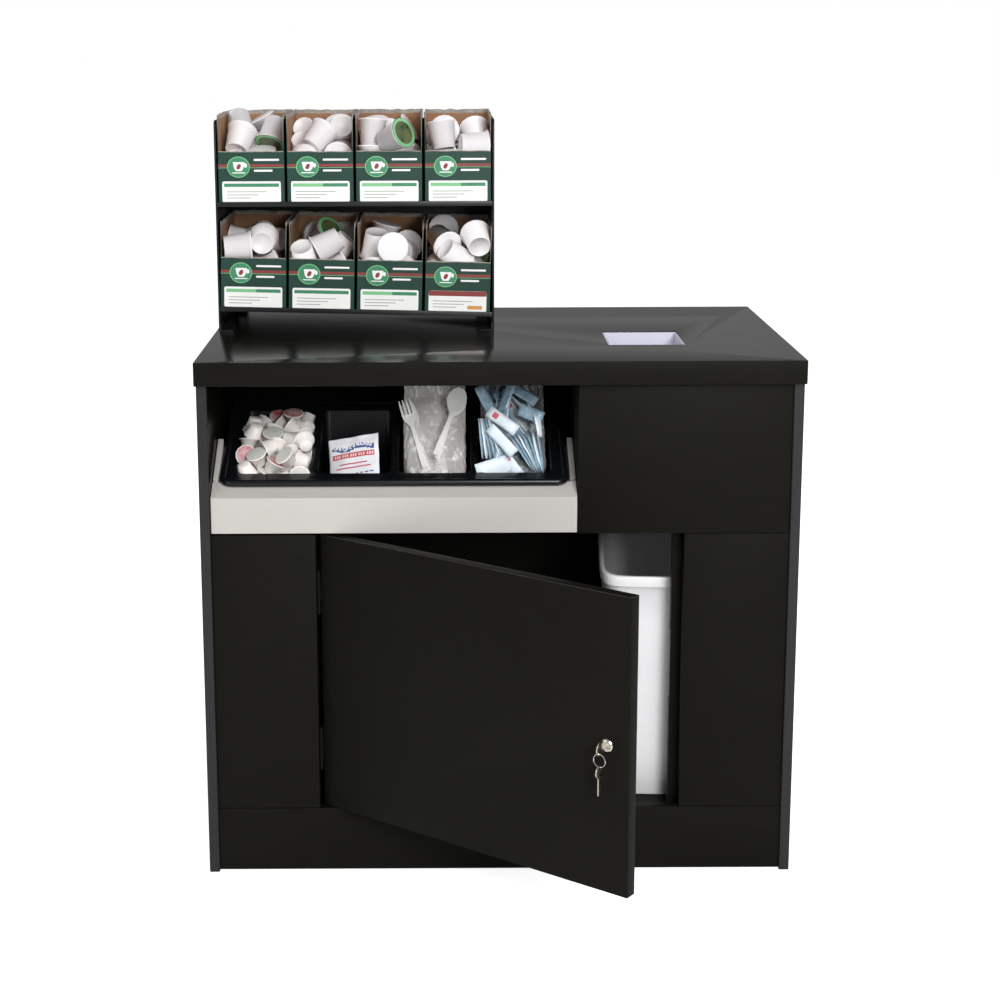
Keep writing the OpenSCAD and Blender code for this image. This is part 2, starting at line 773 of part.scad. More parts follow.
countertop();
side_panel_left();
side_panel_right();
edge_band_left();
edge_band_right();
bottom_panel();
back_panel();
toe_rail();
lower_panel_left();
lower_panel_right();
false_front();
bay_partition();
bay_shelf();
waste_chute();
hinge_batten();
stop_batten();
stop_strip_upper();
stop_strip_lower();
strike_plate();
hinge_frame_leaves();
hinge_pins();
slide_outer_left();
slide_outer_right();
door_panel();
hinge_door_leaves();
lock_housing();
lock_nut();
lock_plug();
lock_key();
lock_cam();
key_ring();
spare_key();
bin_fascia();
bin_rail();
bin_cheek_left();
bin_cheek_right();
bin_bezel_strips();
bin_side_left();
bin_side_right();
bin_floor();
bin_back();
condiment_tray();
slide_inner_left();
slide_inner_right();
waste_basket();
rack_plate_left();
rack_plate_right();
rack_shelf_upper();
rack_shelf_lower();
rack_back();
rack_feet();
carton_upper_1();
carton_upper_2();
carton_upper_3();
carton_upper_4();
carton_lower_1();
carton_lower_2();
carton_lower_3();
carton_lower_4();
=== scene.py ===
"""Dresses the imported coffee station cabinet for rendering, in metres, in the part's own frame."""

from __future__ import annotations

import json
import logging
import math
import random
from collections.abc import Callable
from dataclasses import dataclass, field
from enum import Enum

import bmesh
import bpy
from mathutils import Matrix, Quaternion, Vector, noise

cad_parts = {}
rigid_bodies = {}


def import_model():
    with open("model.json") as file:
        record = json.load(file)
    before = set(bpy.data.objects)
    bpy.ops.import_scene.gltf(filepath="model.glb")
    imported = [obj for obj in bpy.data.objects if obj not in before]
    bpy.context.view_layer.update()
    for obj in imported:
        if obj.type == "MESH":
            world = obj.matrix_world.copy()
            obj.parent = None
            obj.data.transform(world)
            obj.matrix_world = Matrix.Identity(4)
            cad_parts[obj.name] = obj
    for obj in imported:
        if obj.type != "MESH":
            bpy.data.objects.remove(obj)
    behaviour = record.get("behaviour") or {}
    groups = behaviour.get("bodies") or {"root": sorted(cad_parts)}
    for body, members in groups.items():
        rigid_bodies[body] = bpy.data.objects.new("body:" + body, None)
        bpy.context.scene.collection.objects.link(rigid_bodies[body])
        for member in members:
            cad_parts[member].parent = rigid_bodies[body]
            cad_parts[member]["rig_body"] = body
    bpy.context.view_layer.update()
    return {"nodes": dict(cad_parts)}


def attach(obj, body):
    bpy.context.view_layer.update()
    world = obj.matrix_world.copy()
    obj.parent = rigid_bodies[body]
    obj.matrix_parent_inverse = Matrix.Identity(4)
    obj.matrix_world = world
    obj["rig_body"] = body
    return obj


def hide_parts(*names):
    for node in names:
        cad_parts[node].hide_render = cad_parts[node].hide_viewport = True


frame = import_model()

LOG = logging.getLogger("coffee_station")
MM = 0.001
DM_PER_MM = 0.01
TURN = 2 * math.pi
Point = tuple[float, float, float]
Flat = tuple[float, float]
Tree = bpy.types.NodeTree
Socket = bpy.types.NodeSocket

# The cabinet's places are given in millimetres from the middle of its width, the side panels'
# front edges and the floor. The part's own frame lies this far behind those edges.
MIDDLE_Y = 115.701
CABINET = Matrix.Translation((0.0, -MIDDLE_Y, 0.0))


# Colours and shader nodes


def linear(code: str) -> tuple[float, float, float, float]:
    """Turns an sRGB hex colour to linear light.

    Args:
        code: Six hex digits after a #.

    Returns:
        Red, green, blue and an alpha of 1.
    """
    channels = [int(code[i : i + 2], 16) / 255 for i in (1, 3, 5)]
    out = [c / 12.92 if c <= 0.04045 else ((c + 0.055) / 1.055) ** 2.4 for c in channels]
    return (out[0], out[1], out[2], 1.0)


def add_node(tree: Tree, kind: str, settings: dict | None = None,
             inputs: dict | None = None) -> bpy.types.Node:
    """Adds one shader node, with its settings, values and links.

    Args:
        tree: The material's or world's node tree.
        kind: The node's class name.
        settings: Attributes of the node.
        inputs: Values by input name or number; a socket is linked instead.

    Returns:
        The new node.
    """
    node = tree.nodes.new(kind)
    for name, value in (settings or {}).items():
        setattr(node, name, value)
    for name, value in (inputs or {}).items():
        if isinstance(value, Socket):
            tree.links.new(value, node.inputs[name])
        else:
            node.inputs[name].default_value = value
    return node


def maths(tree: Tree, operation: str, first: float | Socket, second: float | Socket) -> Socket:
    """Adds a Math node and returns its value."""
    return add_node(tree, "ShaderNodeMath", {"operation": operation}, {0: first, 1: second}).outputs[0]


class Along(Enum):
    """The direction in which a pattern runs, as the stretch of its texture space."""

    X = (0.02, 1.0, 1.0)
    Y = (1.0, 0.02, 1.0)
    Z = (1.0, 1.0, 0.02)
    FOLDS = (1.0, 1.0, 0.3)
    NONE = (1.0, 1.0, 1.0)


@dataclass(frozen=True)
class Finish:
    """A surface: its colours, gloss and the pattern that breaks them up.

    Attributes:
        name: The material's name.
        colour: Main colour, sRGB hex.
        shade: Second colour of the pattern, sRGB hex.
        roughness: Lowest and highest roughness.
        metallic: 1 for bare metal, 0 for everything else.
        specular: Strength of the plain gloss; 0.5 is that of an index of 1.5.
        grain_mm: Size of the pattern's smallest marks.
        along: The direction in which the pattern runs.
        relief_mm: Depth of the pattern in the surface.
        blotch_mm: Size of the slow changes of tone.
        coat: Weight of a clear gloss layer.
        sheer: Lowest and highest opacity of a clear film, raised at grazing angles and along streaks as
            painted sheen; None is opaque.
    """

    name: str
    colour: str
    shade: str
    roughness: tuple[float, float] = (0.4, 0.5)
    metallic: float = 0.0
    specular: float = 0.5
    grain_mm: float = 1.0
    along: Along = Along.NONE
    relief_mm: float = 0.0
    blotch_mm: float = 60.0
    coat: float = 0.0
    sheer: tuple[float, float] | None = None

    def build(self) -> bpy.types.Material:
        """Makes the material, unless it is there already.

        Returns:
            The material.
        """
        known = bpy.data.materials.get(self.name)
        if known:
            return known
        material = bpy.data.materials.new(self.name)
        material.use_nodes = True
        tree = material.node_tree
        shader = tree.nodes["Principled BSDF"]
        shader.inputs["Metallic"].default_value = self.metallic
        shader.inputs["Specular IOR Level"].default_value = self.specular
        if self.coat:
            shader.inputs["Coat Weight"].default_value = self.coat
            shader.inputs["Coat Roughness"].default_value = 0.08
        place = add_node(tree, "ShaderNodeTexCoord").outputs["Object"]
        fine = self._noise(tree, place, self.grain_mm, self.along.value, 5)
        slow = self._noise(tree, place, self.blotch_mm, (1, 1, 1), 3)
        tone = add_node(tree, "ShaderNodeMix", {"data_type": "FLOAT"},
                        {0: 0.35, 2: fine, 3: slow}).outputs[0]
        spread = self._spread(tree, tone, 0.32, 0.68, (0.0, 1.0))
        colour = add_node(tree, "ShaderNodeMix", {"data_type": "RGBA"},
                          {0: spread, 6: linear(self.colour), 7: linear(self.shade)})
        tree.links.new(colour.outputs[2], shader.inputs["Base Color"])
        tree.links.new(self._spread(tree, tone, 0.3, 0.7, self.roughness), shader.inputs["Roughness"])
        if self.relief_mm:
            bump = add_node(tree, "ShaderNodeBump", None,
                            {"Strength": 1.0, "Distance": self.relief_mm * MM, "Height": fine})
            tree.links.new(bump.outputs[0], shader.inputs["Normal"])
        if self.sheer:
            # A clear film grows whiter and more opaque towards grazing angles and along noise streaks: a
            # painted sheen for the reflections on its creases, with some real milky haze.
            edge = add_node(tree, "ShaderNodeLayerWeight", None, {"Blend": 0.35}).outputs["Facing"]
            haze_and_sheen_streak = self._spread(tree, fine, 0.5, 0.68, (0.0, 1.0))
            most = maths(tree, "MAXIMUM", edge, haze_and_sheen_streak)
            tree.links.new(self._spread(tree, most, 0.0, 1.0, self.sheer), shader.inputs["Alpha"])
        return material

    @staticmethod
    def _noise(tree: Tree, place: Socket, size_mm: float,
               stretch: tuple[float, float, float], detail: float) -> Socket:
        """Adds noise whose smallest marks have a real size, and returns its value."""
        moved = add_node(tree, "ShaderNodeMapping", None,
                         {"Vector": place, "Scale": tuple(s / (size_mm * MM) for s in stretch)})
        return add_node(tree, "ShaderNodeTexNoise", None,
                        {"Vector": moved.outputs[0], "Scale": 0.5, "Detail": detail,
                         "Roughness": 0.6}).outputs[0]

    @staticmethod
    def _spread(tree: Tree, value: Socket, low: float, high: float,
                to: tuple[float, float]) -> Socket:
        """Adds a Map Range node from low..high to another range, and returns its value."""
        return add_node(tree, "ShaderNodeMapRange", None,
                        {0: value, 1: low, 2: high, 3: to[0], 4: to[1]}).outputs[0]


# Melamine laminate pressed with a fine horizontal wood grain: warm near-black, satin, with
# short dull streaks. The pores are about 0.4 mm on the real board and drawn 0.9 mm tall.
FRONT_LAMINATE = Finish("black_grained_laminate", "#0e0d0a", "#161511", (0.42, 0.56), specular=0.07,
                        grain_mm=0.9, along=Along.X, relief_mm=0.03, blotch_mm=90)
# The same board on the sides, where the grain runs to the back
SIDE_LAMINATE = Finish("black_grained_laminate_sides", "#0f0e0b", "#171612", (0.2, 0.3), specular=0.1,
                       grain_mm=0.9, along=Along.Y, relief_mm=0.03, blotch_mm=90)
# The countertop's laminate is smoother and mirrors what stands on it, softly
TOP_LAMINATE = Finish("black_countertop_laminate", "#0f0e0c", "#181714", (0.13, 0.2), specular=0.3,
                      grain_mm=0.9, along=Along.X, relief_mm=0.012, blotch_mm=120)
# The arris of a laminated board, where the dark skin is rubbed: painted much lighter than the board as a
# painted highlight in a thin line, where light from above catches it, over some real rubbing
RUBBED_ARRIS_HIGHLIGHT = Finish("rubbed_arris_painted_highlight", "#3c3b39", "#5c5a56", (0.22, 0.34), grain_mm=2.0,
                    blotch_mm=40)
# Thin PVC lipping ironed on the side panels' front edges: smoother and paler than the board
LIPPING = Finish("black_pvc_lipping", "#1e1e1f", "#272829", (0.3, 0.42), specular=0.28,
                 grain_mm=0.8, along=Along.Z, relief_mm=0.01, blotch_mm=70)
# Warm light grey laminate, satin, with a barely visible speckle
GREY_LAMINATE = Finish("warm_grey_laminate", "#b4b1ac", "#bbb8b3", (0.34, 0.46), grain_mm=0.7,
                       relief_mm=0.008, blotch_mm=50)
# Vacuum-formed ABS, glossy black with a slight orange peel
TRAY_PLASTIC = Finish("gloss_black_abs", "#0a0c0e", "#0f1114", (0.2, 0.27), specular=0.32, grain_mm=3.0,
                      relief_mm=0.02, blotch_mm=40)
# Injection-moulded polypropylene, satin white
BASKET_PLASTIC = Finish("white_polypropylene", "#f0eff1", "#f6f5f7", (0.34, 0.44), grain_mm=1.2,
                        relief_mm=0.01, blotch_mm=45)
# Bent polystyrene sheet, off-white with a cool cast
CHUTE_PLASTIC = Finish("cool_white_polystyrene", "#cdccdb", "#d6d5e4", (0.28, 0.4), grain_mm=1.5,
                       relief_mm=0.008, blotch_mm=35)
# Zinc-plated steel: dull silver with a faint bloom
ZINC_STEEL = Finish("zinc_plated_steel", "#9d9d9a", "#b4b4b0", (0.3, 0.45), metallic=1,
                    grain_mm=1.6, relief_mm=0.004, blotch_mm=12)
# Nickel-plated die-cast zinc on the lock, polished
BRIGHT_NICKEL = Finish("bright_nickel_plating", "#cfcbc6", "#dedad6", (0.12, 0.22), metallic=1,
                       grain_mm=0.6, relief_mm=0.003, blotch_mm=6)
# Nickelled brass keys, worn a little yellow in patches
KEY_METAL = Finish("worn_nickelled_brass", "#bfb39c", "#d9d4ca", (0.18, 0.32), metallic=1,
                   grain_mm=0.7, relief_mm=0.006, blotch_mm=5)
# Black oxide on the hinges and the lock's strike: matt, dark enough to vanish against the boards
BLACK_OXIDE = Finish("matt_black_oxide", "#0e0e0e", "#151515", (0.55, 0.68), specular=0.1, grain_mm=1.2,
                     relief_mm=0.01, blotch_mm=15)
# Stove enamel on sheet steel: black, satin, with fine handling marks
BLACK_ENAMEL = Finish("satin_black_enamel", "#0f1011", "#18191b", (0.3, 0.44), specular=0.35, grain_mm=1.4,
                      relief_mm=0.01, blotch_mm=35)
# The outside of the pod cartons: dark green ink on coated board, a little rubbed
GREEN_BOARD = Finish("dark_green_printed_board", "#17382f", "#1f4238", (0.38, 0.5), specular=0.3,
                     grain_mm=1.1, relief_mm=0.01, blotch_mm=22)
# Bare grey-brown board inside the cartons, with paper fibres
KRAFT_BOARD = Finish("kraft_board", "#8a654b", "#a37c5e", (0.7, 0.85), specular=0.25, grain_mm=1.0,
                     relief_mm=0.05, blotch_mm=26)
# The torn edge where the lid was pulled off: split grey plies
TORN_BOARD = Finish("torn_board_edge", "#77716b", "#b5aca2", (0.75, 0.9), specular=0.2, grain_mm=1.6,
                    relief_mm=0.12, blotch_mm=9)
# Inks on the cartons' fronts, each on the same coated board
RED_INK = Finish("dark_red_ink", "#7c2a2a", "#8b3833", (0.38, 0.48), grain_mm=0.8, blotch_mm=12)
PALE_INK = Finish("pale_green_ink", "#6fb57c", "#83c48c", (0.38, 0.48), grain_mm=0.8, blotch_mm=12)
LABEL_PAPER = Finish("white_label_paper", "#e9e9e6", "#f0f0ed", (0.5, 0.6), grain_mm=0.8, blotch_mm=14)
BAND_INK = Finish("label_green_ink", "#2f7a56", "#3c8a64", (0.45, 0.55), grain_mm=0.8, blotch_mm=12)
GREY_INK = Finish("label_grey_ink", "#8e9490", "#a5aaa6", (0.45, 0.55), grain_mm=0.8, blotch_mm=8)
WARM_INK = Finish("label_amber_ink", "#c98a3c", "#d69c4e", (0.45, 0.55), grain_mm=0.8, blotch_mm=8)
# Thermoformed polystyrene of the coffee pods: white and satin
POD_PLASTIC = Finish("white_pod_polystyrene", "#ebe7e9", "#f3f0f1", (0.3, 0.42), grain_mm=1.3,
                     relief_mm=0.012, blotch_mm=16)
# Heat-sealed foil lids: white, and on a few pods dark green with patches of bronze
WHITE_FOIL = Finish("white_lid_foil", "#e8e6e8", "#f2f0f1", (0.28, 0.4), grain_mm=1.0,
                    relief_mm=0.03, blotch_mm=9)
GREEN_FOIL = Finish("green_lid_foil", "#11432d", "#77774c", (0.25, 0.36), grain_mm=8.0,
                    relief_mm=0.03, blotch_mm=9, coat=0.3)
# Creamer cups: ivory polystyrene
CREAMER_PLASTIC = Finish("ivory_creamer_polystyrene", "#f0e9e4", "#f7f2ee", (0.28, 0.4), grain_mm=1.2,
                         relief_mm=0.012, blotch_mm=12)
# Their lids: foil printed in patches of pinkish red, or pale grey-green and plain
PINK_FOIL = Finish("pink_lid_foil", "#b23c48", "#d3c6c5", (0.26, 0.38), grain_mm=7.0,
                   relief_mm=0.02, blotch_mm=9)
PLAIN_FOIL = Finish("pale_lid_foil", "#c3c6bf", "#dad9d3", (0.3, 0.4), grain_mm=4.0,
                    relief_mm=0.03, blotch_mm=7)
# Paper of the drink mix packet and the sugar sticks, sealed and slightly waxy
PACKET_PAPER = Finish("white_packet_paper", "#e4e4ea", "#efeff3", (0.34, 0.46), grain_mm=1.4,
                      relief_mm=0.05, blotch_mm=14)
PACKET_BLUE = Finish("packet_blue_ink", "#39508a", "#4a619a", (0.36, 0.46), grain_mm=1.0, blotch_mm=9)
PACKET_RED = Finish("packet_red_ink", "#b8454b", "#cb6164", (0.36, 0.46), grain_mm=1.0, blotch_mm=9)
STICK_BLUE = Finish("pale_blue_stick_paper", "#5f7f93", "#a3bccb", (0.25, 0.38), grain_mm=3.0,
                    relief_mm=0.06, blotch_mm=7, coat=0.3)
STICK_WHITE = Finish("white_stick_paper", "#cfdde7", "#e2ebf1", (0.28, 0.4), grain_mm=3.0,
                     relief_mm=0.06, blotch_mm=8, coat=0.2)
# Injection-moulded polystyrene cutlery, bright white and smooth
CUTLERY_PLASTIC = Finish("white_cutlery_polystyrene", "#ecebe9", "#f4f3f2", (0.16, 0.26), grain_mm=1.6,
                         relief_mm=0.004, blotch_mm=20)
# Crinkled clear polypropylene bags: nearly invisible where flat; whiter and more opaque at grazing angles
# and in streaks along the folds, a painted sheen for the reflections on the creases, with some milky haze
MILKY_SHEEN_FILM = Finish("crinkled_milky_film_painted_sheen", "#eeeae6", "#fbfaf8", (0.08, 0.2), grain_mm=7.0,
                    along=Along.FOLDS, relief_mm=0.9, blotch_mm=25, sheer=(0.17, 0.85))
CLEAR_SHEEN_FILM = Finish("crinkled_clear_film_painted_sheen", "#d5d8dc", "#e8ebee", (0.06, 0.16), grain_mm=4.0,
                    along=Along.FOLDS, relief_mm=0.5, blotch_mm=25, sheer=(0.02, 0.4))


# Mesh helpers


def linked(name: str, data: bpy.types.ID) -> bpy.types.Object:
    """Makes an object of some data and links it to the scene."""
    made = bpy.data.objects.new(name, data)
    bpy.context.scene.collection.objects.link(made)
    return made


def squared(angle: float, power: float) -> list[float]:
    """Gives the x and y, -1 to 1, of a squared-off circle at an angle."""
    return [math.copysign(abs(t) ** power, t) for t in (math.cos(angle), math.sin(angle))]


@dataclass(frozen=True)
class Packet:
    """Measures of a filled paper packet, in millimetres.

    Attributes:
        width: Its width.
        height: Its height, with the seals.
        bulge: How far each face stands out in the middle.
        seal: Height of the flat seal at each end.
        notch: Depth of the zigzag cut along the ends.
        cells: Number of faces across and up.
    """

    width: float
    height: float
    bulge: float
    seal: float = 5.0
    notch: float = 0.0
    cells: tuple[int, int] = (4, 6)


class Mould:
    """A mesh that is drawn in millimetres in a place of its own.

    Attributes:
        bm: The mesh, in metres, in the part's frame.
        place: The place in which the points are given, in millimetres.
    """

    def __init__(self, place: Matrix = CABINET) -> None:
        """Starts an empty mesh."""
        self.bm = bmesh.new()
        self.place = place

    def at(self, point: Point) -> bmesh.types.BMVert:
        """Adds a vertex."""
        return self.bm.verts.new((self.place @ Vector(point)) * MM)

    def face(self, verts: list[bmesh.types.BMVert], material: int = 0) -> None:
        """Adds a face with a material number."""
        self.bm.faces.new(verts).material_index = material

    def loft(self, rings: list[list[Point]], materials: tuple[int, ...] = (0,)) -> None:
        """Joins closed rings of points in order and closes both ends.

        Args:
            rings: Rings that turn counter-clockwise, seen from the last one's side.
            materials: Material number of each band, then of the last end; the last one goes on.
        """
        rows = [[self.at(point) for point in ring] for ring in rings]
        for n, (low, high) in enumerate(zip(rows, rows[1:])):
            material = materials[min(n, len(materials) - 1)]
            for i in range(len(low)):
                j = (i + 1) % len(low)
                self.face([low[i], low[j], high[j], high[i]], material)
        self.face(rows[0][::-1], materials[0])
        self.face(rows[-1], materials[-1])

    def turned(self, profile: list[Flat], place: Matrix, steps: int,
               materials: tuple[int, ...] = (0,)) -> None:
        """Turns (radius, height) pairs round the Z axis of a place, and closes both ends."""
        turns = [TURN * k / steps for k in range(steps)]
        self.loft([[tuple(place @ Vector((r * math.cos(a), r * math.sin(a), z))) for a in turns]
                   for r, z in profile], materials)

    def flat(self, outline: list[Flat], depth: float, material: int) -> None:
        """Adds a flat print that faces the front.

        Args:
            outline: Its (x, z) points, counter-clockwise seen from the front.
            depth: How far it stands in front of Y = 0.
            material: Its material number.
        """
        self.face([self.at((x, -depth, z)) for x, z in outline], material)

    def soften(self, width_mm: float, least_deg: float = 40.0) -> list[bmesh.types.BMFace]:
        """Rounds the edges that turn by more than an angle.

        Args:
            width_mm: Width of the rounding.
            least_deg: The angle.

        Returns:
            The faces of the rounding.
        """
        sharp = [e for e in self.bm.edges
                 if e.is_manifold and e.calc_face_angle(0) > math.radians(least_deg)]
        return bmesh.ops.bevel(self.bm, geom=sharp, offset=width_mm * MM, offset_type="OFFSET",
                               segments=3, profile=0.5, affect="EDGES", clamp_overlap=True,
                               material=-1)["faces"]

    def pillow(self, centre: Vector, across: Vector, up: Vector, size: Packet,
               look: Callable[[float, float, bool], int], crumple: float = 0.0, seed: int = 0) -> None:
        """Adds a filled packet with flat sealed ends.

        Args:
            centre: Its middle.
            across: Unit vector along its width.
            up: Unit vector along its height.
            size: Its measures.
            look: Gives a face's material from its place across and up, -1 to 1, and its side.
            crumple: How far its faces wave.
            seed: Sets the waves.
        """
        out = across.cross(up)
        nu, nv = size.cells
        sealed = 1 - 2 * size.seal / size.height

        def spot(i: int, j: int, side: int) -> Point:
            """Gives a point of the grid.

            Args:
                i: Its number across.
                j: Its number up.
                side: 1 on the front, -1 on the back.

            Returns:
                The point.
            """
            u, v = 2 * i / nu - 1, 2 * j / nv - 1
            full = max(0.0, 1 - abs(u) ** 2.6) ** 0.6 * max(0.0, 1 - (v / sealed) ** 4) ** 0.6
            wave = crumple * noise.noise(Vector((u * 2.1 + seed, v * 2.9, seed * 0.7)))
            notch = size.notch * (i % 2) if j in (0, nv) else 0.0
            return tuple(centre + across * (u * size.width / 2 * (1 - 0.03 * full))
                         + up * (v * (size.height / 2 - notch))
                         + out * (side * (size.bulge * full + 0.12) + wave))

        front, back = ([[self.at(spot(i, j, side)) for j in range(nv + 1)] for i in range(nu + 1)]
                       for side in (1, -1))
        for i in range(nu):
            for j in range(nv):
                u, v = (2 * i + 1) / nu - 1, (2 * j + 1) / nv - 1
                self.face([front[i][j], front[i + 1][j], front[i + 1][j + 1], front[i][j + 1]],
                          look(u, v, True))
                self.face([back[i][j], back[i][j + 1], back[i + 1][j + 1], back[i + 1][j]],
                          look(u, v, False))
        edge = [(i, 0) for i in range(nu)] + [(nu, j) for j in range(nv)]
        edge += [(i, nv) for i in range(nu, 0, -1)] + [(0, j) for j in range(nv, 0, -1)]
        for (a, b), (c, d) in zip(edge, edge[1:] + edge[:1]):
            self.face([back[a][b], back[c][d], front[c][d], front[a][b]])

    def piece(self, name: str, body: str, finishes: list[Finish],
              replaces: tuple[str, ...] = (), smooth_deg: float = 35.0) -> bpy.types.Object:
        """Makes the mesh a piece that rides on a body.

        Args:
            name: The piece's name.
            body: The CAD body that carries it.
            finishes: One finish for each material number that the faces use.
            replaces: CAD nodes that it stands for.
            smooth_deg: Edges flatter than this are shaded smooth.

        Returns:
            The new object.
        """
        for face in self.bm.faces:
            face.smooth = True
        for edge in self.bm.edges:
            edge.smooth = edge.is_manifold and edge.calc_face_angle(0) < math.radians(smooth_deg)
        mesh = bpy.data.meshes.new(name)
        self.bm.to_mesh(mesh)
        self.bm.free()
        for finish in finishes:
            mesh.materials.append(finish.build())
        made = linked(name, mesh)
        if replaces:
            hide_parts(*replaces)
        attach(made, body)
        LOG.info("%s: %d faces on %s", name, len(mesh.polygons), body)
        return made


def softened(node: str, finish: Finish, width_mm: float = 0.8,
             upright: Finish | None = None, arris: Finish | None = None) -> bpy.types.Object:
    """Stands a copy with rounded edges in for a board, plate or key.

    Args:
        node: The CAD node.
        finish: Its finish.
        width_mm: Width of the rounding.
        upright: Another finish for its upright faces.
        arris: Another finish for its rounded top edges; on the door a lighter one that paints a highlight
            there.

    Returns:
        The new piece.
    """
    mould = Mould()
    mould.bm.from_mesh(frame["nodes"][node].data)
    bmesh.ops.remove_doubles(mould.bm, verts=mould.bm.verts, dist=1e-5)
    bmesh.ops.dissolve_limit(mould.bm, angle_limit=math.radians(0.5), verts=mould.bm.verts,
                             edges=mould.bm.edges)
    rounded = mould.soften(width_mm)
    mould.bm.normal_update()
    finishes = [look for look in (finish, upright, arris) if look]
    for face in mould.bm.faces:
        face.material_index = 1 if upright and abs(face.normal.z) < 0.6 else 0
    # Rounded faces that face upwards take the arris finish, which on the door is a painted highlight along
    # its top edges.
    for face in rounded:
        if arris and face.normal.z > 0.2:
            face.material_index = len(finishes) - 1
    return mould.piece(node + "_softened", frame["nodes"][node]["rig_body"], finishes, (node,))


def paint(finish: Finish, *nodes: str) -> None:
    """Gives CAD nodes their finish where their own shape is right.

    Args:
        finish: The finish.
        nodes: The CAD nodes.
    """
    for node in nodes:
        mesh = frame["nodes"][node].data
        mesh.materials.clear()
        mesh.materials.append(finish.build())


def round_outline(x0: float, x1: float, z0: float, z1: float, radius: float) -> list[Flat]:
    """Draws a rectangle with rounded corners.

    Args:
        x0: Its left edge.
        x1: Its right edge.
        z0: Its lower edge.
        z1: Its upper edge.
        radius: Radius of its corners.

    Returns:
        Its (x, z) points, counter-clockwise.
    """
    out = []
    for x, z, start in ((x1 - radius, z0 + radius, 270), (x1 - radius, z1 - radius, 0),
                        (x0 + radius, z1 - radius, 90), (x0 + radius, z0 + radius, 180)):
        for step in range(5):
            angle = math.radians(start + 22.5 * step)
            out.append((x + radius * math.cos(angle), z + radius * math.sin(angle)))
    return out


def disc_outline(x: float, z: float, half_w: float, half_h: float, lean_deg: float = 0.0) -> list[Flat]:
    """Draws an ellipse.

    Args:
        x: Its middle across.
        z: Its middle upwards.
        half_w: Half its width.
        half_h: Half its height.
        lean_deg: How far it is turned.

    Returns:
        Its 24 (x, z) points, counter-clockwise.
    """
    c, s = math.cos(math.radians(lean_deg)), math.sin(math.radians(lean_deg))
    out = []
    for k in range(24):
        a, b = half_w * math.cos(TURN * k / 24), half_h * math.sin(TURN * k / 24)
        out.append((x + a * c - b * s, z + a * s + b * c))
    return out


# Loose cups, poured and settled


def slab(low: Point, high: Point) -> tuple[Point, ...]:
    """Gives the corners of an upright box between its lowest and its highest corner."""
    return tuple((x, y, z) for x in (low[0], high[0]) for y in (low[1], high[1])
                 for z in (low[2], high[2]))


@dataclass(frozen=True)
class Holder:
    """A carton or a well, and the cups that are poured into it, in millimetres.

    Attributes:
        width: Its width.
        depth: Its depth.
        walls: The corners of each wall, from its lower left front corner.
        cup: (radius, height) points of the outline of a cup.
        count: Number of cups that are poured.
        slots: Number of cups along and across in one layer of the pour.
        seed: Seed of the way the cups fall.
    """

    width: float
    depth: float
    walls: tuple[tuple[Point, ...], ...]
    cup: tuple[Flat, ...]
    count: int
    slots: tuple[int, int]
    seed: int


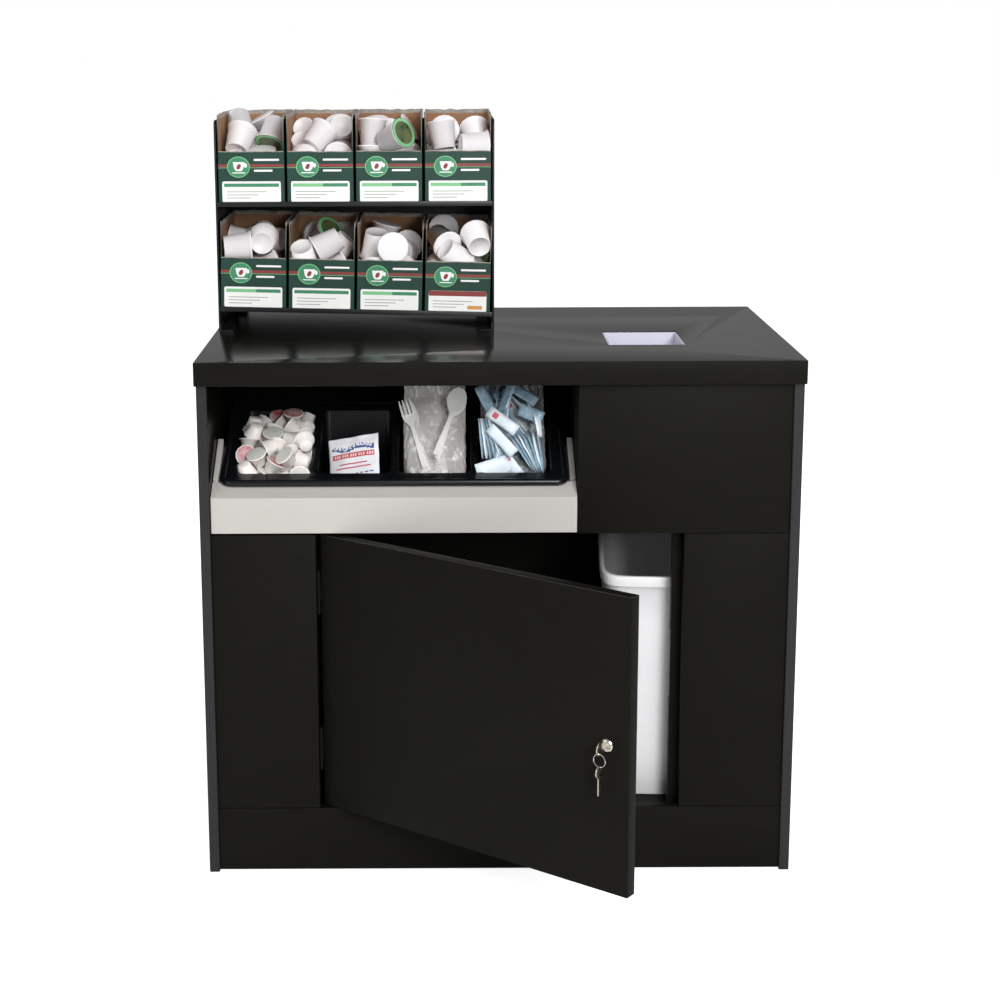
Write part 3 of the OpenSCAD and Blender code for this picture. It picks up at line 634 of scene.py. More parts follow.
class Pour:
    """Cups that fall into their holders and settle, by Blender's rigid bodies.

    The solver works in decimetres. Tall guides keep the cups together while they fall and
    then draw back, so cups that nothing holds fall off and are left out.

    Attributes:
        gravity: Gravity in decimetres per second squared.
        friction: Friction of cups and walls.
        apart: Distance between holders, in decimetres.
        guide: Thickness of walls and guides, in millimetres.
        guide_h: Height of the guides, in millimetres.
        drawn: Frame at which the guides start to draw back.
        draw_time: Number of frames in which they do.
        draw_way: How far they do, in decimetres.
        settled: Frame at which the cups lie still.
        steps: Solver steps in a frame.
        rounds: Solver rounds in a step.
        sides: Number of sides of a cup's shape in the solver.
    """

    gravity = 98.1
    friction = 0.35
    apart = 4.0
    guide = 30.0
    guide_h = 1200.0
    drawn = 34
    draw_time = 6
    draw_way = 0.6
    settled = 66
    steps = 24
    rounds = 14
    sides = 14

    def __init__(self) -> None:
        """Adds an empty rigid body world."""
        self.scene = bpy.context.scene
        bpy.ops.rigidbody.world_add()
        world = self.scene.rigidbody_world
        world.collection = bpy.data.collections.new("pour")
        world.substeps_per_frame = self.steps
        world.solver_iterations = self.rounds
        self.scene.gravity = (0, 0, -self.gravity)
        self.helpers: list[bpy.types.Object] = []

    def _hull(self, points: tuple[Point, ...]) -> bpy.types.Mesh:
        """Makes the convex hull of some points.

        Args:
            points: The points, in millimetres.

        Returns:
            Its mesh, in decimetres.
        """
        mesh = bpy.data.meshes.new("pour")
        bm = bmesh.new()
        for point in points:
            bm.verts.new(Vector(point) * DM_PER_MM)
        bmesh.ops.convex_hull(bm, input=bm.verts)
        bm.to_mesh(mesh)
        bm.free()
        return mesh

    def _body(self, mesh: bpy.types.Mesh, place: Matrix, falls: bool) -> bpy.types.Object:
        """Adds a rigid body.

        Args:
            mesh: Its convex shape.
            place: Where it starts.
            falls: Whether it is free to fall.

        Returns:
            Its object.
        """
        body = linked("pour", mesh)
        body.matrix_world = place
        with bpy.context.temp_override(object=body, active_object=body, selected_objects=[body]):
            bpy.ops.rigidbody.object_add(type="ACTIVE" if falls else "PASSIVE")
        body.rigid_body.collision_shape = "CONVEX_HULL"
        body.rigid_body.friction = self.friction
        self.helpers.append(body)
        return body

    def _guides(self, holder: Holder, corner: Vector) -> None:
        """Stands four tall guides round a holder, which draw back once the cups are in.

        Args:
            holder: The holder.
            corner: Where its lower left front corner stands.
        """
        w, d, t, top = holder.width, holder.depth, self.guide, self.guide_h
        for low, high, away in (((-t, 0, 0), (0, d, top), (-1, 0, 0)),
                                ((w, 0, 0), (w + t, d, top), (1, 0, 0)),
                                ((0, -t, 0), (w, 0, top), (0, -1, 0)),
                                ((0, d, 0), (w, d + t, top), (0, 1, 0))):
            body = self._body(self._hull(slab(low, high)), Matrix.Translation(corner), False)
            body.rigid_body.kinematic = True
            body.rigid_body.friction = 0
            end = self.drawn + self.draw_time
            for when, way in ((1, 0), (self.drawn, 0), (end, self.draw_way)):
                body.location = corner + Vector(away) * way
                body.keyframe_insert("location", frame=when)

    def _fill(self, holder: Holder, corner: Vector) -> list[bpy.types.Object]:
        """Stacks a holder's cups above it in loose layers, each turned at random.

        Args:
            holder: The holder.
            corner: Where its lower left front corner stands.

        Returns:
            The cups.
        """
        for wall in holder.walls:
            self._body(self._hull(wall), Matrix.Translation(corner), False)
        self._guides(holder, corner)
        rng = random.Random(holder.seed)
        size = 2 * max(r for r, z in holder.cup)
        turns = [TURN * i / self.sides for i in range(self.sides)]
        mesh = self._hull(tuple((r * math.cos(a), r * math.sin(a), z)
                                for r, z in holder.cup for a in turns))
        along, across = holder.slots
        sway = 0.5 * (holder.width / across - size)
        cups = []
        for n in range(holder.count):
            layer, slot = divmod(n, along * across)
            row, column = divmod(slot, across)
            start = Vector(((column + 0.5) / across * holder.width + rng.uniform(-sway, sway),
                            (0.05 + 0.9 * (row + 0.5) / along) * holder.depth,
                            1.2 * size + layer * (size + 1)))
            turn = Quaternion([rng.gauss(0, 1) for _ in range(4)]).normalized().to_matrix()
            place = Matrix.Translation(corner + start * DM_PER_MM) @ turn.to_4x4()
            cups.append(self._body(mesh, place, True))
        return cups

    def settle(self, holders: dict[str, Holder]) -> dict[str, list[Matrix]]:
        """Lets all the cups fall, and removes everything that this took.

        Args:
            holders: The holders by name.

        Returns:
            The places of the cups that each holder keeps, in millimetres, the highest first.
        """
        corners = {name: Vector((self.apart * n, 0, 0)) for n, name in enumerate(holders)}
        cups = {name: self._fill(holder, corners[name]) for name, holder in holders.items()}
        for number in range(1, self.settled + 1):
            self.scene.frame_set(number)
        kept = {}
        for name, holder in holders.items():
            kept[name] = []
            for cup in cups[name]:
                place = Matrix.Translation(-corners[name]) @ cup.matrix_world
                place.translation /= DM_PER_MM
                x, y, z = place.translation
                if 0 < x < holder.width and 0 < y < holder.depth and z > 0:
                    kept[name].append(place)
            kept[name].sort(key=lambda place: -place.translation.z)
        together = self.scene.rigidbody_world.collection
        bpy.ops.rigidbody.world_remove()
        bpy.data.batch_remove([body.animation_data.action for body in self.helpers
                               if body.animation_data])
        bpy.data.batch_remove({body.data for body in self.helpers})
        bpy.data.batch_remove([body for body in bpy.data.objects if body.name.startswith("pour")])
        bpy.data.collections.remove(together)
        self.scene.frame_set(1)
        return kept


# Sub-assemblies


@dataclass
class Carcass:
    """The cabinet's boards, battens, slides, hinges and chute.

    Attributes:
        edge_mm: Width of the rounding on the boards' edges.
        fronts: The boards that face the front.
        inner: The boards inside and behind.
    """

    edge_mm: float = 0.7
    fronts: tuple[str, ...] = ("toe_rail", "lower_panel_left", "lower_panel_right", "false_front")
    inner: tuple[str, ...] = ("bottom_panel", "back_panel", "bay_partition", "bay_shelf",
                              "hinge_batten", "stop_batten", "stop_strip_upper", "stop_strip_lower")

    def build(self) -> None:
        """Dresses every board and fitting."""
        softened("countertop", TOP_LAMINATE, 1.2, FRONT_LAMINATE)
        for side in ("left", "right"):
            softened(f"side_panel_{side}", SIDE_LAMINATE, self.edge_mm)
        for node in self.fronts:
            softened(node, FRONT_LAMINATE, self.edge_mm)
        paint(LIPPING, "edge_band_left", "edge_band_right")
        paint(FRONT_LAMINATE, *self.inner)
        paint(BLACK_OXIDE, "strike_plate", "hinge_frame_leaves", "hinge_pins", "hinge_door_leaves")
        paint(ZINC_STEEL, "slide_outer_left", "slide_outer_right", "slide_inner_left",
              "slide_inner_right")
        paint(CHUTE_PLASTIC, "waste_chute")


@dataclass
class Door:
    """The door with its lock and keys.

    Attributes:
        edge_mm: Width of the rounding on the door's edges.
        pivot: The hinge pin's place.
        angle_deg: How far the door stands open.
        ring_at: The key ring's middle in the closed door's place.
        ring_r: The ring's middle radius.
        wire_r: Radius of its wire.
        turns: Number of turns that the wire makes.
        steps: Number of steps along the wire.
        sides: Number of sides of the wire.
    """

    edge_mm: float = 1.4
    pivot: Point = (-277.25, 14.8, 0.0)
    angle_deg: float = 37.0
    ring_at: Point = (519.25, -17.0, 308.5)
    ring_r: float = 9.5
    wire_r: float = 0.55
    turns: float = 1.9
    steps: int = 72
    sides: int = 10

    def build(self) -> None:
        """Dresses the door, the lock, its ring and the keys."""
        # The door's upward-facing rounded edges take a lighter finish: a painted highlight line, with some
        # rubbing.
        softened("door_panel", FRONT_LAMINATE, self.edge_mm, arris=RUBBED_ARRIS_HIGHLIGHT)
        paint(BRIGHT_NICKEL, "lock_housing", "lock_nut", "lock_plug", "lock_cam")
        for node in ("lock_key", "spare_key"):
            softened(node, KEY_METAL, 0.3)
        self._ring()

    def _ring(self) -> None:
        """Winds the split ring: nearly two turns of wire that lie against each other."""
        mould = Mould(CABINET @ Matrix.Translation(self.pivot)
                      @ Matrix.Rotation(math.radians(-self.angle_deg), 4, "Z")
                      @ Matrix.Translation(self.ring_at))
        round_wire = [TURN * s / self.sides for s in range(self.sides)]
        rings = []
        for k in range(self.steps + 1):
            a = TURN * self.turns * k / self.steps
            out = Vector((math.cos(a), 0, math.sin(a)))
            middle = out * self.ring_r + Vector((0, self.wire_r * (2.1 * k / self.steps - 1.05), 0))
            rings.append([tuple(middle + (out * math.cos(b) + Vector((0, math.sin(b), 0))) * self.wire_r)
                          for b in round_wire])
        mould.loft(rings)
        bmesh.ops.recalc_face_normals(mould.bm, faces=mould.bm.faces)
        mould.piece("split_ring", "ring", [BRIGHT_NICKEL], ("key_ring",))


@dataclass
class WasteBasket:
    """The tapered wastebasket with its rolled rim.

    Attributes:
        size: Width and depth over the rim, and height.
        middle: The place of its middle on the cabinet's floor.
        yaw_deg: How far it stands turned.
        rim: How far the rim stands out.
        rim_h: Height of the rim's band.
        wall: Thickness of the wall.
        taper: How much further in each side stands at the bottom.
        bow: Exponent of the plan's outline.
        points: Number of points round it.
    """

    size: Point = (250.0, 362.0, 367.0)
    middle: Point = (297.4, 253.5, 88.0)
    yaw_deg: float = 4.0
    rim: float = 5.0
    rim_h: float = 17.0
    wall: float = 2.5
    taper: float = 8.0
    bow: float = 8.0
    points: int = 120

    def _ring(self, inset: float, z: float) -> list[Point]:
        """Draws the outline at a height.

        Args:
            inset: How far it lies inside the rim's plan.
            z: Its height.

        Returns:
            Its points, counter-clockwise.
        """
        out = []
        for k in range(self.points):
            x, y = squared(TURN * k / self.points, 2 / self.bow)
            out.append((x * (self.size[0] / 2 - inset), y * (self.size[1] / 2 - inset), z))
        return out

    def build(self) -> None:
        """Lofts the outside up to the rim, over it and down the inside."""
        mould = Mould(CABINET @ Matrix.Translation(self.middle)
                      @ Matrix.Rotation(math.radians(-self.yaw_deg), 4, "Z"))
        height, low = self.size[2], self.size[2] - self.rim_h

        def side(z: float) -> float:
            """Gives the outside wall's inset at a height."""
            return self.rim + self.taper * (1 - z / height)

        lines = [(side(0) + 3, 0), (side(0) + 0.8, 0.8), (side(0), 3)]
        lines += [(side(low * k / 6), low * k / 6) for k in range(1, 6)]
        lines += [(side(low), low - 0.6), (side(low) - 0.7, low), (1.0, low), (0.3, low + 0.3),
                  (0, low + 1), (0, height - 3), (0.4, height - 1.2), (1.4, height - 0.3), (3, height),
                  (5.6, height), (6.7, height - 0.4), (7.4, height - 1.6), (side(low) + self.wall, low)]
        lines += [(side(low * k / 6) + self.wall, low * k / 6) for k in range(5, 0, -1)]
        lines += [(side(3) + self.wall, 5), (side(0) + self.wall + 1, 3.2), (side(0) + self.wall + 3, 2.5)]
        mould.loft([self._ring(inset, z) for inset, z in lines])
        mould.piece("waste_basket_moulded", "basket", [BASKET_PLASTIC],
                    ("waste_basket",), 50)


# (radius, height) outlines of a pod and of a creamer cup as the solver takes them
POD_HULL = ((18.5, -22.5), (22.8, 20.5), (25.5, 20.5), (25.5, 22.5))
CREAMER_HULL = ((10.0, -9.8), (13.8, 8.6), (16.6, 8.6), (16.6, 9.8))


@dataclass
class Stock:
    """What stands in the four wells of the condiment tray.

    Attributes:
        well_x: Middle of each well across the cabinet.
        well_w: Width of a well.
        well_y: Front of the wells.
        well_z: Bottom of the wells.
        well_d: Depth of a well.
        rim_low: Height of a well's edge at the front.
        rim_high: Height of the guard at the back.
        rim_deg: Slope of the edge between them.
        count: Number of creamers that are poured.
        seed: Seed of the way they fall.
        creamers: Places of the creamer cups, in millimetres from the first well's corner.
        creamer: (radius, height) points of a creamer cup.
    """

    well_x: tuple[float, ...] = (-345.75, -222.15, -98.55, 25.05)
    well_w: float = 112.0
    well_y: float = 43.0
    well_z: float = 566.0
    well_d: float = 172.0
    rim_low: float = 66.0
    rim_high: float = 128.0
    rim_deg: float = 20.0
    count: int = 144
    seed: int = 40
    creamer: tuple[Flat, ...] = ((9.2, -9.8), (10, -9.2), (13.8, 8.3), (16.6, 8.7), (16.6, 9.7),
                                 (15.2, 10))
    creamers: list[Matrix] = field(default_factory=list)

    def holder(self) -> Holder:
        """Makes a holder for creamer cups of the first well, with its sloping edge.

        Returns:
            The holder.
        """
        w, d, out, low, high = self.well_w, self.well_d, Pour.guide, self.rim_low, self.rim_high
        rim = low + d * math.tan(math.radians(self.rim_deg))
        walls = [slab((0, 0, -out), (w, d, 0)), slab((0, -out, 0), (w, 0, low)),
                 slab((0, d, 0), (w, d + out, high))]
        for x in (-out, w):
            walls.append(tuple((x + t, y, z) for t in (0, out)
                               for y, z in ((0, -out), (d, -out), (0, low), (d, rim))))
        return Holder(w, d, tuple(walls), CREAMER_HULL, self.count, (4, 2), self.seed)

    def build(self) -> None:
        """Fills the wells from left to right."""
        self._creamers()
        self._drink_packet()
        self._cutlery()
        self._sticks()

    def _creamers(self) -> None:
        """Heaps creamer cups in the first well, some with printed lids."""
        mould = Mould(CABINET @ Matrix.Translation((self.well_x[0] - self.well_w / 2, self.well_y,
                                                     self.well_z)))
        for n, cup in enumerate(self.creamers):
            mould.turned(list(self.creamer), cup, 14, (0, 0, 0, 0, 0, 1 if n % 3 == 0 else 2))
        mould.piece("creamer_cups", "condiment_bin", [CREAMER_PLASTIC, PINK_FOIL, PLAIN_FOIL])

    def _drink_packet(self) -> None:
        """Leans one paper packet in the second well, with plain bars for its print."""
        def look(u: float, v: float, front: bool) -> int:
            """Prints a wavy blue band, a red band and red lines on white paper.

            Args:
                u: A face's place across, -1 to 1.
                v: Its place upwards, -1 to 1.
                front: Whether it lies on the front.

            Returns:
                Its material number.
            """
            if not front or abs(u) > 0.84:
                return 0
            wave = v - 0.64 - 0.05 * math.sin(5 * u)
            if abs(wave) < 0.03 or (0.05 < wave < 0.1 and (u * 7) % 1 > 0.5):
                return 1
            if abs(v - 0.46) < 0.075 and (abs(v - 0.46) > 0.045 or (u * 9) % 1 > 0.45):
                return 2
            if (0.22 < v < 0.26 and abs(u) < 0.55) or (0.1 < v < 0.13 and abs(u) < 0.7):
                return 2
            return 1 if -0.06 < v < -0.02 and (u * 5) % 1 > 0.4 else 0

        across = Vector((0.936, -0.28, 0.219)).normalized()
        up = Vector((-0.043, 0.525, 0.85))
        up = (up - across * up.dot(across)).normalized()
        mould = Mould()
        mould.pillow(Vector((-223.5, 91.0, 622.0)), across, up,
                     Packet(84, 118, 4.2, 7, 1.0, (42, 56)), look, 2.2, 5)
        mould.piece("drink_mix_packet", "condiment_bin", [PACKET_PAPER, PACKET_BLUE, PACKET_RED])

    def _utensil(self, mould: Mould, low: Vector, high: Vector, turn_deg: float, fork: bool) -> None:
        """Adds a fork or a spoon that stands on its handle.

        Args:
            mould: The mesh that takes it.
            low: The handle's end.
            high: The point towards which its head lies.
            turn_deg: How far its face is turned from the front.
            fork: A fork if true, else a spoon.
        """
        up = (high - low).normalized()
        face = Matrix.Rotation(math.radians(turn_deg), 3, up) @ Vector((0, -1, 0))
        across = (-face).cross(up).normalized() * -1
        back = across.cross(up)

        def ring(s: float, half: float, dish: float, thick: float, x: float = 0.0) -> list[Point]:
            """Draws a section.

            Args:
                s: Its distance from the handle's end.
                half: Half its width.
                dish: How far its middle lies back.
                thick: Its thickness.
                x: Its middle across.

            Returns:
                Its points.
            """
            shape = ((1, -0.5, 0), (1, 0.5, 0), (0.5, 1, 0.8), (0, 1, 1), (-0.5, 1, 0.8), (-1, 0.5, 0),
                     (-1, -0.5, 0), (-0.5, -1, 0.8), (0, -1, 1), (0.5, -1, 0.8))
            arc = 5 * math.sin(s / 150 * math.pi) - 4 * max(0.0, (s - 105) / 45)
            return [tuple(low + up * s + across * (x + half * px)
                          + back * (thick / 2 * py + dish * pd + arc)) for px, py, pd in shape]

        stem = [(0, 3.6, 0, 1.6), (1.5, 4.6, 0.6, 2.0), (30, 4.4, 0.8, 2.2), (70, 3.2, 0.5, 2.6),
                (96, 2.9, 0, 3.0)]
        if not fork:
            bowl = [(104, 5.5, 0.8, 2.0), (112, 11, 2.6, 1.4), (124, 15.2, 5, 1.2), (136, 14.6, 5, 1.2),
                    (146, 10, 3, 1.2), (151, 4, 0.5, 1.0)]
            mould.loft([ring(*line) for line in stem + bowl])
            return
        palm = [(104, 6, 0.6, 2.0), (110, 9.6, 1.6, 1.6), (120, 11, 2.2, 1.4), (122, 10.8, 2.2, 1.2)]
        mould.loft([ring(*line) for line in stem + palm])
        for tine in (-1.5, -0.5, 0.5, 1.5):
            x = tine * 5.9
            mould.loft([ring(s, half, 0.2, 1.4, x * (1 - (s - 120) * 0.002))
                        for s, half in ((119, 1.9), (130, 1.6), (143, 1.3), (149, 0.7))])

    def _cutlery(self) -> None:
        """Lays a fork and a spoon on a clear bag full of cutlery in the third well."""
        mould = Mould()
        for low, high, turn, fork in (((-112.7, 50, 639), (-147, 173, 719), 8, True),
                                      ((-109, 52, 633), (-141, 174, 712), -4, True),
                                      ((-97, 50, 659), (-57.7, 174, 736), -12, False),
                                      ((-95, 53, 653), (-58, 176, 730), 4, False)):
            self._utensil(mould, Vector(low), Vector(high), turn, fork)
        deal = random.Random(12)
        for n in range(15):
            low = Vector((self.well_x[2] + deal.uniform(-26, 26), 58 + 1.6 * n, 578 + 3.3 * n))
            high = Vector((self.well_x[2] + deal.uniform(-28, 28), low.y + 118, low.z + 86))
            reach = (high - low).normalized()
            self._utensil(mould, low, low + reach * 150, deal.uniform(-50, 50), n % 2 == 0)
        bmesh.ops.recalc_face_normals(mould.bm, faces=mould.bm.faces)
        mould.piece("plastic_cutlery", "condiment_bin", [CUTLERY_PLASTIC], (), 45)
        self._bag("cutlery_bag", self.well_x[2], 51.0, 290.0, 192.0, 11, MILKY_SHEEN_FILM)

    def _bag(self, name: str, middle: float, half_w: float, lean: float, height: float, seed: int,
             film: Finish) -> None:
        """Stands an open clear bag in a well, creased all over.

        Args:
            name: The piece's name.
            middle: Its middle across the cabinet.
            half_w: Half its width.
            lean: How steeply its front film slopes to the back above a third of its height.
            height: Its height above the well's bottom.
            seed: Sets the creases.
            film: Its finish.
        """
        mould = Mould()
        rows, columns = 56, 88
        rings = []
        for j in range(rows + 1):
            h = j / rows
            z = self.well_z + 2 + (height - 2) * h
            y1 = self.well_y + 150 + 12 * h
            y0 = min(self.well_y + 6 + lean * max(0.0, h - 0.33), y1 - 18)
            deep, mid = (y1 - y0) / 2, (y1 + y0) / 2
            ring = []
            for k in range(columns):
                x, y = squared(TURN * k / columns, 0.55)
                spot = Vector((x * 1.7 + seed, y * 2.2, h * 3.4))
                crease = 1 - 2 * abs(noise.noise(spot * 2.0)) - abs(noise.noise(spot * 5.3)) * 0.8
                push = -4.5 + 3.6 * crease
                ring.append((middle + x * (half_w + push), mid + y * (deep + push), z))
            rings.append(ring)
        mould.loft(rings)
        bmesh.ops.delete(mould.bm, geom=[f for f in mould.bm.faces if len(f.verts) > 4],
                         context="FACES_ONLY")
        bmesh.ops.solidify(mould.bm, geom=mould.bm.faces[:], thickness=0.12 * MM)
        mould.piece(name, "condiment_bin", [film], (), 80)

    def _sticks(self) -> None:
        """Fills the fourth well with sugar sticks and packets, the front ones as in the photograph."""
        mould = Mould()
        deal = random.Random(31)

        def blue(u: float, v: float, front: bool) -> int:
            """Gives a blue stick with white ends."""
            return 1 if abs(u) < 0.8 and abs(v) < 0.85 else 0

        def red(u: float, v: float, front: bool) -> int:
            """Gives a white stick with a red patch."""
            return 2 if front and 0.3 < v < 0.6 and abs(u) < 0.4 else 0

        def plain(u: float, v: float, front: bool) -> int:
            """Gives a white stick."""
            return 0

        def lay(at: Point, lean: float, twist: float, size: Flat, look: Callable, n: int) -> None:
            """Lays one packet.

            Args:
                at: Its middle.
                lean: How far it leans to the right, in degrees.
                twist: How far it is turned about its own length, in degrees.
                size: Its width and height.
                look: Its print.
                n: Sets its creases.
            """
            turn = math.radians(lean)
            up = Vector((math.sin(turn), 0.3, math.cos(turn))).normalized()
            across = Vector((math.cos(turn), -0.1, -math.sin(turn)))
            across = (across - up * across.dot(up)).normalized()
            across = Matrix.Rotation(math.radians(twist), 3, up) @ across
            mould.pillow(Vector(at), across, up, Packet(*size, 1.7, 4, 0.0, (4, 6)), look, 2.0, n)

        for n in range(54):
            level = n // 9
            z = 610 + 20 * level + deal.uniform(-5, 5)
            lean = deal.choice((-34, -34, -48, -22, 30, 8)) + deal.uniform(-9, 9)
            reach = 33 * abs(math.sin(math.radians(lean))) + 8
            x = self.well_x[3] + deal.uniform(-1, 1) * max(4.0, 50 - reach)
            y = self.well_y + 34 + (z - 610) * 0.5 + (n % 9) * 9 + deal.uniform(-3, 3)
            lay((x, min(y, 200.0), z), lean, deal.uniform(-60, 60), (16, 66),
                (blue, blue, plain, blue, red, blue, plain)[n % 7], n)
        fan = ((36, -34), (41, -31), (46, -28), (50, -24), (55, -20), (60, -15), (65, -8),
               (-27, -5), (-22, -8), (-17, -11), (-12, -14), (-6, -18))
        for n, (x, lean) in enumerate(fan):
            look = plain if n % 3 == 2 else blue
            lay((x, 66 + n % 3, 658 if x > 0 else 680), lean, 80, (13, 62), look, n)
        # The four highest packets take the darker blue print so that they read dim: painted shade for the
        # top of the heap under the countertop.
        for n, (at, lean, twist, size, look) in enumerate((
                ((4, 53, 680), -45, 0, (18, 56), plain), ((-6, 52, 637), 76, 0, (30, 60), plain),
                ((6, 76, 706), -56, 15, (18, 54), red), ((50, 90, 714), -70, 20, (20, 40), blue),
                ((62, 78, 697), -8, 50, (12, 34), plain), ((20, 58, 641), -38, 0, (16, 40), red),
                ((2, 60, 650), 20, 30, (22, 44), blue), ((-18, 118, 730), -28, 30, (18, 50), blue),
                ((14, 126, 735), 24, -40, (18, 50), blue), ((40, 130, 738), -60, 40, (18, 50), blue))):
            lay(at, lean, twist, size, look, n + 5)
        mould.piece("sugar_sticks", "condiment_bin", [STICK_WHITE, STICK_BLUE, PACKET_RED],
                    (), 40)
        self._bag("sugar_bag", self.well_x[3], 52.0, 330.0, 186.0, 47, CLEAR_SHEEN_FILM)


@dataclass
class CondimentBin:
    """The pull-out bin with its grey front, black tray and what the tray holds.

    Attributes:
        edge_mm: Width of the rounding on the boards' edges.
        stock: What the tray holds.
    """

    edge_mm: float = 0.8
    stock: Stock = field(default_factory=Stock)

    def build(self) -> None:
        """Dresses the bin's boards and tray, and fills the tray."""
        self._bezel()
        for node in ("bin_cheek_left", "bin_cheek_right", "bin_bezel_strips"):
            softened(node, GREY_LAMINATE, self.edge_mm)
        paint(SIDE_LAMINATE, "bin_side_left", "bin_side_right", "bin_floor", "bin_back")
        softened("condiment_tray", TRAY_PLASTIC, 1.4)
        self.stock.build()

    def _bezel(self) -> None:
        """Makes the fascia and the rail behind it one face without a joint line."""
        mould = Mould()
        outline = ((4, 548), (20, 548), (20, 600), (40, 600), (40, 612.32), (34, 620.32), (4, 603))
        mould.loft([[(x, y, z) for y, z in outline] for x in (-437.35, 116.65)])
        mould.soften(self.edge_mm)
        mould.piece("bezel_front", "condiment_bin", [GREY_LAMINATE],
                    ("bin_fascia", "bin_rail"))


class Label(Enum):
    """The kinds of label on the cartons."""

    SPLIT = "a band in two greens"
    SOLID = "a band in one green"
    WARM = "a red band over amber"


@dataclass
class Carton:
    """An open pod carton with its lid torn off and its front cut down, and its pods.

    Attributes:
        row: "upper" or "lower".
        number: 1 to 4, from the left.
        label: Its label.
        cups: Places of its pods, in millimetres from its lower left front corner.
        green: Whether the pod that shows best has a green lid.
        width: Its width.
        depth: Its depth.
        height: Height of its sides and back.
        front: Height of its front.
        wall: Thickness of the board.
        pitch: Distance between cartons.
        count: Number of pods that are poured.
    """

    row: str
    number: int
    label: Label
    cups: list[Matrix] = field(default_factory=list)
    green: bool = False
    width: float = 107.0
    depth: float = 200.0
    height: float = 147.0
    front: float = 88.0
    wall: float = 1.2
    pitch: float = 111.625
    count: int = 21

    def holder(self, seed: int) -> Holder:
        """Gives the carton as a holder into which its pods are poured.

        Args:
            seed: Seed of the way they fall.

        Returns:
            The holder.
        """
        w, d, h, t, out = self.width, self.depth, self.height, self.wall, Pour.guide
        walls = (slab((0, 0, -out), (w, d, t)), slab((-out, 0, 0), (t, d, h)),
                 slab((w - t, 0, 0), (w + out, d, h)), slab((0, -out, 0), (w, t, self.front)),
                 slab((0, d - t, 0), (w, d + out, h)))
        return Holder(w, d, walls, POD_HULL, self.count, (4, 1), seed)

    @property
    def place(self) -> Matrix:
        """Finds its lower left front corner; the lower shelf drops 11 mm to the right.

        Returns:
            The place.
        """
        along = (self.number - 1) * self.pitch
        if self.row == "upper":
            return CABINET @ Matrix.Translation((-447.6875 + along, 303, 1017.85))
        tilt = math.atan(11 / (4 * self.pitch))
        return (CABINET @ Matrix.Translation((-450, 303, 846.8)) @ Matrix.Rotation(tilt, 4, "Y")
                @ Matrix.Translation((along + 0.5, 0, 0.05)))

    def build(self) -> None:
        """Makes the carton, its print and its pods."""
        mould = Mould(self.place)
        self._shell(mould)
        self._print(mould)
        mould.piece(f"carton_{self.row}_{self.number}_board", "rack",
                    [GREEN_BOARD, KRAFT_BOARD, TORN_BOARD, RED_INK, PALE_INK, LABEL_PAPER, BAND_INK,
                     GREY_INK, WARM_INK], (f"carton_{self.row}_{self.number}",), 40)
        self._pods()

    def _columns(self) -> list[Point]:
        """Draws the outline with its torn edge.

        Returns:
            Points round the carton, as x, y and the wall's height there.
        """
        w, d, lip = self.width, self.depth, self.wall + 0.1
        seed = self.number * 7.3 + (40 if self.row == "upper" else 0)

        def torn(along: float, top: float, most: float) -> float:
            """Gives the height of the torn edge, which dips by up to a depth."""
            rough = abs(noise.noise(Vector((along / 23, seed, 0)))) + 0.5 * abs(
                noise.noise(Vector((along / 6, seed, 9))))
            return top - 0.2 - most * min(1.0, rough * 1.4)

        out = [(0.0, 0.0, torn(0, self.height, 3))]
        for k in range(13):
            x = lip + (w - 2 * lip) * k / 12
            out.append((x, 0.0, torn(x + 300, self.front, 1.2)))
        out.append((w, 0.0, torn(900, self.height, 3)))
        out += [(w, d * k / 16, torn(900 + d * k / 16, self.height, 3.4)) for k in range(1, 16)]
        out += [(w * (1 - k / 10), d, torn(1200 + w * k / 10, self.height, 2.4)) for k in range(11)]
        out += [(0.0, d * (1 - k / 16), torn(d * (1 - k / 16), self.height, 3.4)) for k in range(1, 16)]
        return out

    def _shell(self, mould: Mould) -> None:
        """Lofts the board up the outside, over the torn edge and down the inside.

        Args:
            mould: The mesh that takes it.
        """
        w, d, t = self.width, self.depth, self.wall
        seed = self.number * 3.1 + (17 if self.row == "upper" else 0)
        columns = self._columns()

        def ring(share: float, inside: bool) -> list[Point]:
            """Draws one line round the wall, which bulges a little and flares at the top.

            Args:
                share: Its share of the wall's height.
                inside: Whether it lies on the inside.

            Returns:
                Its points.
            """
            out = []
            for x, y, top in columns:
                base = t if inside else 0.0
                z = base + (top - base) * share
                sway = 0.0
                if x in (0.0, w):
                    sway = 2.2 * noise.noise(Vector((y / 70, z / 60, seed + x))) * min(1, y / 30) * share
                    sway = max(-1.2, min(1.2, sway))
                    flare = 0.9 * max(0.0, share - 0.9) / 0.1 * min(1, y / 10)
                    sway += flare if inside == (x == 0.0) else -flare
                elif y == 0.0 and share == 0.955:
                    z = base + (top - base) * 0.985
                if inside:
                    x, y = min(max(x, t), w - t), min(max(y, t), d - t)
                out.append((x + sway, y, z))
            return out

        shares = (0, 0.02, 0.3, 0.6, 0.85, 0.955, 1)
        rings = [ring(s, False) for s in shares] + [ring(s, True) for s in (1, 0.955, 0.85, 0.6, 0.3, 0)]
        mould.loft(rings, (0, 0, 0, 0, 0, 2, 2, 2, 1, 1, 1, 1, 1))

